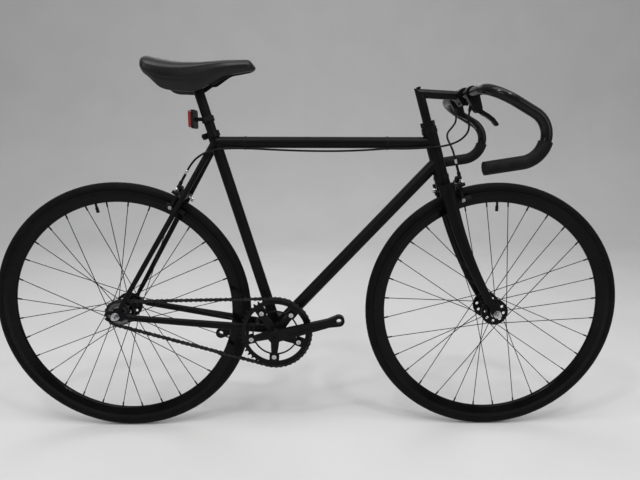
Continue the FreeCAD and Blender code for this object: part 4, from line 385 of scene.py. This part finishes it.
def rim_black(name, hub):
    # Gloss black rim with fine turning lines on the brake track
    shader = Shader(name)
    radius = shader.wheel(hub)[0]
    track = shader.math("GREATER_THAN", radius, RIM_EDGE_R - RIM_TRACK)
    lines = shader.math("SINE", shader.times(radius, TURNING_LINES))
    height = shader.times(shader.times(lines, track), LINES_WEIGHT)
    grain = shader.times(shader.noise(RIM_GRAIN), RIM_GRAIN_WEIGHT)
    shader.bump(shader.plus(height, grain), RIM_LIFT)
    drift = shader.noise(RIM_DRIFT, detail=RIM_DETAIL)
    shader.base(shader.colours(drift, RIM_COLOURS))
    shader.rough(shader.plus(shader.spread(drift, *RIM_ROUGH), shader.times(track, TRACK_WEAR)))
    shader.fixed(Specular_IOR_Level=RIM_SPECULAR)
    return shader.material


# Saddle vinyl: scales, weight and detail of its noises, strength of the relief, colours and shine
VINYL_PEBBLES = 900.0
VINYL_GRAIN = 2500.0
VINYL_GRAIN_WEIGHT = 0.3
VINYL_RELIEF = 0.7
VINYL_DRIFT = 24.0
VINYL_DETAIL = 5.0
VINYL_COLOURS = ((DRIFT_LOW, (0.003, 0.003, 0.0034)), (DRIFT_HIGH, (0.005, 0.005, 0.0056)))
VINYL_SHINE = 60.0
VINYL_ROUGH = (0.28, 0.37)
VINYL_SPECULAR = 0.28
VINYL_SHEEN = 0.01
VINYL_SHEEN_ROUGH = 0.4


def saddle_cover():
    # Grained vinyl with a soft sheen
    shader = Shader("saddle_cover")
    drift = shader.noise(VINYL_DRIFT, detail=VINYL_DETAIL)
    shader.base(shader.colours(drift, VINYL_COLOURS))
    shader.rough(shader.spread(shader.noise(VINYL_SHINE), *VINYL_ROUGH))
    pebble = shader.cells(VINYL_PEBBLES, feature="SMOOTH_F1")
    grain = shader.times(shader.noise(VINYL_GRAIN), VINYL_GRAIN_WEIGHT)
    shader.bump(shader.plus(pebble, grain), VINYL_LIFT, VINYL_RELIEF)
    shader.fixed(Sheen_Weight=VINYL_SHEEN, Sheen_Roughness=VINYL_SHEEN_ROUGH,
                 Specular_IOR_Level=VINYL_SPECULAR)
    return shader.material


# Reflector lens: scale of the prisms, their colours and relief, and the shine of the clear skin
LENS_PRISMS = 330.0
LENS_COLOURS = ((0.0, (0.12, 0.002, 0.002)), (0.12, (0.24, 0.005, 0.005)), (0.5, (0.34, 0.012, 0.010)))
LENS_RELIEF = 0.8
LENS_SHINE = 300.0
LENS_ROUGH = (0.12, 0.22)
LENS_COAT = 0.8
LENS_COAT_ROUGH = 0.06


def reflector_lens():
    # Red lens of small prisms under a clear skin
    shader = Shader("reflector_lens")
    prisms = shader.cells(LENS_PRISMS, feature="DISTANCE_TO_EDGE")
    shader.base(shader.colours(prisms, LENS_COLOURS))
    shader.rough(shader.spread(shader.noise(LENS_SHINE), *LENS_ROUGH))
    shader.bump(prisms, PRISM_LIFT, LENS_RELIEF)
    shader.fixed(Coat_Weight=LENS_COAT, Coat_Roughness=LENS_COAT_ROUGH)
    return shader.material


# Plain finishes: two colours, drift scale, roughness, grain scale and lift, metallic and specular level
DEEP_BLACK = (0.003, 0.003, 0.0035)
BLACK = (0.006, 0.006, 0.0065)
SOFT_BLACK = (0.011, 0.011, 0.0115)
WORN_BLACK = (0.02, 0.02, 0.02)
SILVER_DARK = (0.42, 0.42, 0.43)
SILVER_PALE = (0.58, 0.58, 0.59)
CHAIN_DARK = (0.012, 0.012, 0.013)
CHAIN_PALE = (0.035, 0.034, 0.032)
COG_DARK = (0.08, 0.08, 0.08)
COG_PALE = (0.16, 0.156, 0.152)
PLAIN_FINISHES = {
    "gloss_bar": (DEEP_BLACK, BLACK, 20.0, (0.10, 0.16), 500.0, SPOKE_LIFT, 0.0, 0.20),
    "alloy": (DEEP_BLACK, BLACK, 25.0, (0.26, 0.36), 1500.0, METAL_LIFT, 0.0, 0.10),
    "satin": (DEEP_BLACK, BLACK, 30.0, (0.40, 0.52), 1500.0, STEEL_LIFT, 0.0, 0.08),
    "silver": (SILVER_DARK, SILVER_PALE, 60.0, (0.20, 0.34), 1800.0, METAL_LIFT, 1.0, 0.50),
    "chain": (CHAIN_DARK, CHAIN_PALE, 140.0, (0.26, 0.46), 1500.0, STEEL_LIFT, 0.9, 0.50),
    "cog": (COG_DARK, COG_PALE, 90.0, (0.28, 0.44), 1500.0, STEEL_LIFT, 1.0, 0.50),
    "spoke": (DEEP_BLACK, BLACK, 40.0, (0.26, 0.36), 1500.0, SPOKE_LIFT, 0.0, 0.10),
    "grip": (BLACK, SOFT_BLACK, 50.0, (0.50, 0.66), 1100.0, GRIP_LIFT, 0.0, 0.06),
    "pad": (SOFT_BLACK, WORN_BLACK, 90.0, (0.65, 0.82), 1200.0, PAD_LIFT, 0.0, 0.06),
    "housing": (DEEP_BLACK, BLACK, 60.0, (0.30, 0.42), 1500.0, METAL_LIFT, 0.0, 0.12),
    "plastic": (BLACK, SOFT_BLACK, 60.0, (0.45, 0.60), 900.0, PLASTIC_LIFT, 0.0, 0.08),
}


def materials():
    made = {look: grained(look, *finish) for look, finish in PLAIN_FINISHES.items()}
    for wheel, hub in (("front", FRONT_HUB), ("rear", REAR_HUB)):
        made[wheel + "_tyre"] = tyre_rubber(wheel + "_tyre_rubber", hub)
        made[wheel + "_rim"] = rim_black(wheel + "_rim_black", hub)
    made["paint"] = frame_paint()
    made["saddle"] = saddle_cover()
    made["lens"] = reflector_lens()
    return made


# Painting the CAD nodes
def give_looks(node, choices):
    # The node's mesh, with these materials in place of its own
    mesh = nodes[node].data
    mesh.materials.clear()
    for choice in choices:
        mesh.materials.append(looks[choice])
    return mesh


def dress(node, *choices, choose=None):
    # One material all over, or a choice by the middle of each face
    for face in give_looks(node, choices).polygons:
        face.material_index = choose(face.center) if choose else 0


# Decimals of a metre to which corners count as one
WELD_DIGITS = 6


def solids(node):
    # Faces of each closed solid of a node
    mesh = nodes[node].data
    owner = list(range(len(mesh.vertices)))

    def root(k):
        while owner[k] != k:
            owner[k] = owner[owner[k]]
            k = owner[k]
        return k

    first = {}
    for vertex in mesh.vertices:
        key = tuple(round(c, WELD_DIGITS) for c in vertex.co)
        owner[root(vertex.index)] = root(first.setdefault(key, vertex.index))
    for face in mesh.polygons:
        start = root(face.vertices[0])
        for k in face.vertices:
            owner[root(k)] = start
    groups = {}
    for face in mesh.polygons:
        groups.setdefault(root(face.vertices[0]), []).append(face.index)
    return list(groups.values())


def dress_solids(node, first, rest, under):
    # Solids whose longest side is under that size take the second material
    mesh = give_looks(node, (first, rest))
    for faces in solids(node):
        spots = [mesh.polygons[k].center for k in faces]
        side = max(max(p[i] for p in spots) - min(p[i] for p in spots) for i in range(3))
        for k in faces:
            mesh.polygons[k].material_index = int(side < under)


def dress_lens():
    # The rearmost solid of the reflector is its lens
    mesh = give_looks("reflector", ("plastic", "lens"))
    groups = solids("reflector")

    def mean_x(faces):
        return sum(mesh.polygons[k].center.x for k in faces) / len(faces)

    rearmost = min(groups, key=mean_x)
    for faces in groups:
        for k in faces:
            mesh.polygons[k].material_index = int(faces is rearmost)


# Distance from the crank's axis within which a fastener is a cap, in metres
CRANK_CAP_R = 0.022


def dress_fasteners():
    # Bright chainring bolts, and dark caps on the spindle's axis
    hub = Vector(joints["crank_spin"]["pos_m"])

    def near_axis(centre):
        return int(math.hypot(centre.x - hub.x, centre.z - hub.z) < CRANK_CAP_R)

    dress("crank_fasteners", "silver", "alloy", choose=near_axis)


# Nodes that have one material all over
NODES_BY_LOOK = {
    "paint": ("head_tube", "top_tube", "down_tube", "seat_tube", "bottom_bracket_shell", "chain_stays",
              "seat_stays", "rear_dropouts", "fork_crown", "fork_blades"),
    "alloy": ("stem", "headset_cups", "headset_races", "front_hub", "rear_hub", "crank_arm_right",
              "crank_arm_left", "chainring", "seatpost", "stem_bolts", "brake_lever_right",
              "brake_lever_left"),
    "silver": ("front_axle", "rear_axle", "front_axle_nuts", "rear_axle_nuts", "front_brake_bolt",
               "rear_brake_bolt", "crank_spindle", "front_bearings", "rear_bearings"),
    "gloss_bar": ("handlebar",),
    "grip": ("handlebar_grips",),
    "satin": ("bottom_bracket_cartridge", "saddle_rails"),
    "chain": ("chain",),
    "plastic": ("cable_clips", "reflector_bracket"),
}


# Longest sides under which a solid is one of the small bright ones
CLAMP_BOLT_UNDER = 0.030
LEVER_PIN_UNDER = 0.020
CRADLE_UNDER = 0.040
LOCKRING_UNDER = 0.055


def dress_all():
    for look, named in NODES_BY_LOOK.items():
        for node in named:
            dress(node, look)
    for wheel in ("front", "rear"):
        dress(wheel + "_tyre", wheel + "_tyre")
        dress(wheel + "_rim", wheel + "_rim")
        dress(wheel + "_spokes", "spoke")
        dress(wheel + "_inner_tube", "housing")
    dress_solids("seat_clamp", "alloy", "silver", CLAMP_BOLT_UNDER)
    dress_solids("lever_brackets", "alloy", "silver", LEVER_PIN_UNDER)
    dress_solids("saddle_clamp", "satin", "silver", CRADLE_UNDER)
    dress_solids("rear_cog", "cog", "silver", LOCKRING_UNDER)
    dress_lens()
    dress_fasteners()
    dress_calipers()


# Band of the brake shoes under the caliper's pivot, and half the width inside which they are rubber
PAD_LOW_Z = -0.0455
PAD_HIGH_Z = -0.0345
PAD_BACK_Y = 0.021
CALIPER_LOOKS = ("alloy", "silver", "pad")
ARM, HOLDER, RUBBER = range(len(CALIPER_LOOKS))
# An arm's joint at each caliper, and the way that its axis points
CALIPER_JOINTS = (("front", "front_arm_right_close", 1), ("rear", "rear_arm_left_close", -1))


def dress_calipers():
    for wheel, arm, ahead in CALIPER_JOINTS:
        pivot = Vector(joints[arm]["pos_m"])
        axis = Vector(joints[arm]["axis"])
        up = Vector((-axis.z, 0, axis.x)) * ahead

        def part_of(centre):
            if PAD_LOW_Z < (centre - pivot).dot(up) < PAD_HIGH_Z:
                return RUBBER if abs(centre.y) < PAD_BACK_Y else HOLDER
            return ARM

        dress(wheel + "_brake_arm_right", *CALIPER_LOOKS, choose=part_of)
        dress(wheel + "_brake_arm_left", *CALIPER_LOOKS, choose=part_of)


# Pieces made as meshes
def mesh_piece(name, rings, look):
    # Closed skin over rings of points, each ring a closed loop
    verts = [point for ring in rings for point in ring]
    count = len(rings[0])
    faces = []
    for k in range(len(rings) - 1):
        for i in range(count):
            a, b = k * count + i, k * count + (i + 1) % count
            faces.append((a, b, b + count, a + count))
    faces.append(tuple(reversed(range(count))))
    faces.append(tuple(range(len(verts) - count, len(verts))))
    mesh = bpy.data.meshes.new(name)
    mesh.from_pydata(verts, [], faces)
    mesh.validate()
    tidy = bmesh.new()
    tidy.from_mesh(mesh)
    bmesh.ops.recalc_face_normals(tidy, faces=tidy.faces)
    tidy.to_mesh(mesh)
    tidy.free()
    mesh.shade_smooth()
    obj = bpy.data.objects.new(name, mesh)
    scene.collection.objects.link(obj)
    mesh.materials.append(looks[look])
    return obj


def tube_rings(path, widths, sides):
    # Round rings across a path, one at each point, that don't twist
    rings = []
    ways = [(b - a).normalized() for a, b in zip(path, path[1:])]
    ways.append(ways[-1])
    side = ways[0].orthogonal().normalized()
    turns = [math.tau * i / sides for i in range(sides)]
    for point, way, width in zip(path, ways, widths):
        side = (side - way * side.dot(way)).normalized()
        other = way.cross(side)
        rings.append([point + (side * math.cos(a) + other * math.sin(a)) * width for a in turns])
    return rings


# Brake cables: the routes of the CAD housings from each lever to its caliper, in metres
FRONT_HOUSING_ROUTE = (
    (0.3870, 0.0570, 0.84795), (0.3870, 0.0470, 0.83063), (0.3740, 0.0380, 0.8140),
    (0.3580, 0.0230, 0.8000), (0.3530, 0.0060, 0.7860), (0.3570, -0.0110, 0.7700),
    (0.36169, -0.0250, 0.75388), (0.36812, -0.0250, 0.73285))
REAR_HOUSING_FRONT_ROUTE = (
    (0.3870, -0.0570, 0.84795), (0.3870, -0.0470, 0.83063), (0.3940, -0.0420, 0.8100),
    (0.3890, -0.0360, 0.7920), (0.3700, -0.0295, 0.7750), (0.3360, -0.0245, 0.7645),
    (0.3130, -0.0215, 0.76265))
REAR_HOUSING_ROUTE = (
    (0.3130, -0.0215, 0.76265), (0.2900, -0.0185, 0.7608), (0.2450, -0.0120, 0.7586),
    (0.2000, -0.0080, 0.7592), (0.1480, -0.0084, 0.7554), (0.0930, -0.0080, 0.7530),
    (0.0300, -0.0082, 0.7526), (-0.0380, -0.0080, 0.7539), (-0.1000, -0.0083, 0.7566),
    (-0.1570, -0.0080, 0.7592), (-0.1970, -0.0180, 0.7590), (-0.2300, -0.0330, 0.7560),
    (-0.2620, -0.0330, 0.7450), (-0.28837, -0.0250, 0.72438), (-0.29955, -0.0250, 0.70543))
HOUSING_R = 0.0025
HOUSING_SIDES = 20
HOUSING_STEPS = 12
FERRULE_R = 0.0034
FERRULE_LENGTH = 0.011
FERRULE_SIDES = 28
# Places along the ferrule and its radius there, as shares
FERRULE_SHARES = ((0.0, 0.82), (0.06, 1.0), (0.55, 1.0), (0.62, 0.86), (0.92, 0.86), (1.0, 0.70))


def cord_line(name, route):
    # The smooth line that a stiff housing takes along its route
    data = bpy.data.curves.new(name, "CURVE")
    data.dimensions = "3D"
    spline = data.splines.new("NURBS")
    spline.points.add(len(route) - 1)
    for point, place in zip(spline.points, route):
        point.co = (*place, 1.0)
    spline.order_u = 3
    spline.use_endpoint_u = True
    spline.resolution_u = HOUSING_STEPS
    line = bpy.data.objects.new(name, data)
    mesh = bpy.data.meshes.new_from_object(line)
    points = [vertex.co.copy() for vertex in mesh.vertices]
    bpy.data.objects.remove(line)
    bpy.data.curves.remove(data)
    bpy.data.meshes.remove(mesh)
    return points


def ferrule(name, route, body):
    # Turned end cap where the housing sits in the caliper's adjuster
    top = Vector(route[-1])
    way = (top - Vector(route[-2])).normalized()
    path = [top + way * FERRULE_LENGTH * along for along, width in FERRULE_SHARES]
    widths = [FERRULE_R * width for along, width in FERRULE_SHARES]
    obj = mesh_piece(name, tube_rings(path, widths, FERRULE_SIDES), "silver")
    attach(obj, body)
    return obj


def housing(name, route, stands_for):
    # Outer casing of one stretch of brake cable
    path = cord_line(name + "_line", route)
    obj = mesh_piece(name, tube_rings(path, [HOUSING_R] * len(path), HOUSING_SIDES), "housing")
    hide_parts(stands_for)
    return obj


def cables():
    # The rear housing is two stretches that meet end to end
    route = FRONT_HOUSING_ROUTE
    end = ferrule("front_brake_ferrule", route, "front_arm_right")
    cable = housing("front_brake_housing", route, "front_brake_cable")
    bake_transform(cable)
    route = REAR_HOUSING_FRONT_ROUTE
    cable = housing("rear_brake_housing_front", route,
                    "rear_brake_cable_front")
    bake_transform(cable)
    route = REAR_HOUSING_ROUTE
    end = ferrule("rear_brake_ferrule", route, "rear_arm_right")
    cable = housing("rear_brake_housing", route, "rear_brake_cable")
    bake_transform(cable)


# Saddle over the CAD saddle: rows of along, half width, top and bottom, as shares of its sizes
SADDLE_SHARES = (
    (0.00, 0.13, 0.785, 0.574), (0.04, 0.23, 0.880, 0.574), (0.13, 0.29, 0.890, 0.535),
    (0.27, 0.33, 0.880, 0.450), (0.40, 0.43, 0.852, 0.249), (0.53, 0.60, 0.832, 0.057),
    (0.68, 0.82, 0.842, 0.050), (0.82, 0.97, 0.898, 0.110), (0.93, 1.00, 0.973, 0.380),
    (1.00, 0.94, 0.995, 0.520))
# Sizes of the saddle in metres, and shares of its height, width and depth
SADDLE_LOW, SADDLE_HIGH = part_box("saddle")
SADDLE_LENGTH = SADDLE_HIGH.x - SADDLE_LOW.x
SADDLE_HALF_W = SADDLE_HIGH.y
SADDLE_DEPTH = 0.093
SADDLE_BASE_Z = SADDLE_HIGH.z - SADDLE_DEPTH * max(top for along, wide, top, low in SADDLE_SHARES)
SADDLE_CROWN_SHARE = 0.46
SADDLE_FOOT_SHARE = 0.82
SADDLE_BULGE = 0.005
SADDLE_CREASE = 0.0009
SADDLE_CREASE_HALF = 0.0022
SADDLE_CREASE_SHARE = 0.45
SADDLE_NOSE_END = 0.003
SADDLE_TAIL_END = 0.008
SADDLE_END_ROUND = 0.020
SADDLE_ROUND_POWER = 2.2
SADDLE_LEAST_SHARE = 0.05
SADDLE_LIP = 0.005
SADDLE_FLOOR_SHARE = 0.62
SADDLE_FLOOR_COVER = 0.011
SADDLE_STATIONS = 96
SADDLE_TOP_STEPS = 28
SADDLE_SIDE_STEPS = 44
SADDLE_FLOOR_STEPS = 12


def eased(table, along):
    # Values of the table at a place along, on a curve through its rows
    rows = [Vector(row[1:]) for row in table]
    places = [row[0] for row in table]
    k = max(0, min(len(table) - 2, sum(1 for place in places if place <= along) - 1))
    span = places[k + 1] - places[k]
    t = (along - places[k]) / span

    def slope(i):
        if i in (0, len(rows) - 1):
            j = min(i, len(rows) - 2)
            return (rows[j + 1] - rows[j]) / (places[j + 1] - places[j])
        return (rows[i + 1] - rows[i - 1]) / (places[i + 1] - places[i - 1])

    first, last = slope(k) * span, slope(k + 1) * span
    a, b = rows[k], rows[k + 1]
    return (a * (2 * t ** 3 - 3 * t ** 2 + 1) + first * (t ** 3 - 2 * t ** 2 + t)
            + b * (3 * t ** 2 - 2 * t ** 3) + last * (t ** 3 - t ** 2))


def saddle_ring(x, wide, top, low):
    # Crowned top, creased flanks and a hollow underside, as one closed loop
    shoulder = top - wide * SADDLE_CROWN_SHARE
    crease_z = shoulder + (low - shoulder) * SADDLE_CREASE_SHARE
    half = []
    for k in range(SADDLE_TOP_STEPS):
        a = math.pi / 2 * k / SADDLE_TOP_STEPS
        half.append((wide * math.sin(a), shoulder + (top - shoulder) * math.cos(a)))
    for k in range(SADDLE_SIDE_STEPS + 1):
        t = k / SADDLE_SIDE_STEPS
        y = wide * (1 - t + t * SADDLE_FOOT_SHARE) + SADDLE_BULGE * math.sin(math.pi * t)
        half.append((y, shoulder + (low - shoulder) * t))
    creased = []
    for y, z in half:
        inward = SADDLE_CREASE * math.exp(-((z - crease_z) / SADDLE_CREASE_HALF) ** 2)
        creased.append((max(y - inward, y / 2), z))
    foot = creased[-1][0]
    lip = max(foot - SADDLE_LIP, foot / 2)
    floor_top = min(low + (shoulder - low) * SADDLE_FLOOR_SHARE, shoulder - SADDLE_FLOOR_COVER)
    floor_top = max(floor_top, low)
    under = []
    for k in range(SADDLE_FLOOR_STEPS):
        a = math.pi / 2 * k / SADDLE_FLOOR_STEPS
        under.append((lip * math.cos(a), low + (floor_top - low) * math.sin(a)))
    side = creased + under
    loop = side + [(0, floor_top)] + [(-y, z) for y, z in reversed(side[1:])]
    return [Vector((x, y, z)) for y, z in loop]


def saddle():
    length = SADDLE_LENGTH + SADDLE_NOSE_END + SADDLE_TAIL_END
    rings = []
    for k in range(SADDLE_STATIONS + 1):
        # Stations crowd towards the two rounded ends
        into = length * (1 - math.cos(math.pi * k / SADDLE_STATIONS)) / 2
        along = min(max((into - SADDLE_NOSE_END) / SADDLE_LENGTH, 0), 1)
        wide, top, low = eased(SADDLE_SHARES, along)
        end = min(into, length - into)
        part = 1 - min(end / SADDLE_END_ROUND, 1)
        full = max((1 - part ** SADDLE_ROUND_POWER) ** (1 / SADDLE_ROUND_POWER), SADDLE_LEAST_SHARE)
        top = SADDLE_BASE_Z + SADDLE_DEPTH * top
        low = SADDLE_BASE_Z + SADDLE_DEPTH * low
        middle = (top + low) / 2
        rings.append(saddle_ring(SADDLE_HIGH.x + SADDLE_NOSE_END - into, SADDLE_HALF_W * wide * full,
                                 middle + (top - middle) * full, middle + (low - middle) * full))
    obj = mesh_piece("saddle_cover", rings, "saddle")
    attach(obj, "seat")
    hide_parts("saddle")


looks = materials()
camera()
cables()
light()
stage()
dress_all()
saddle()
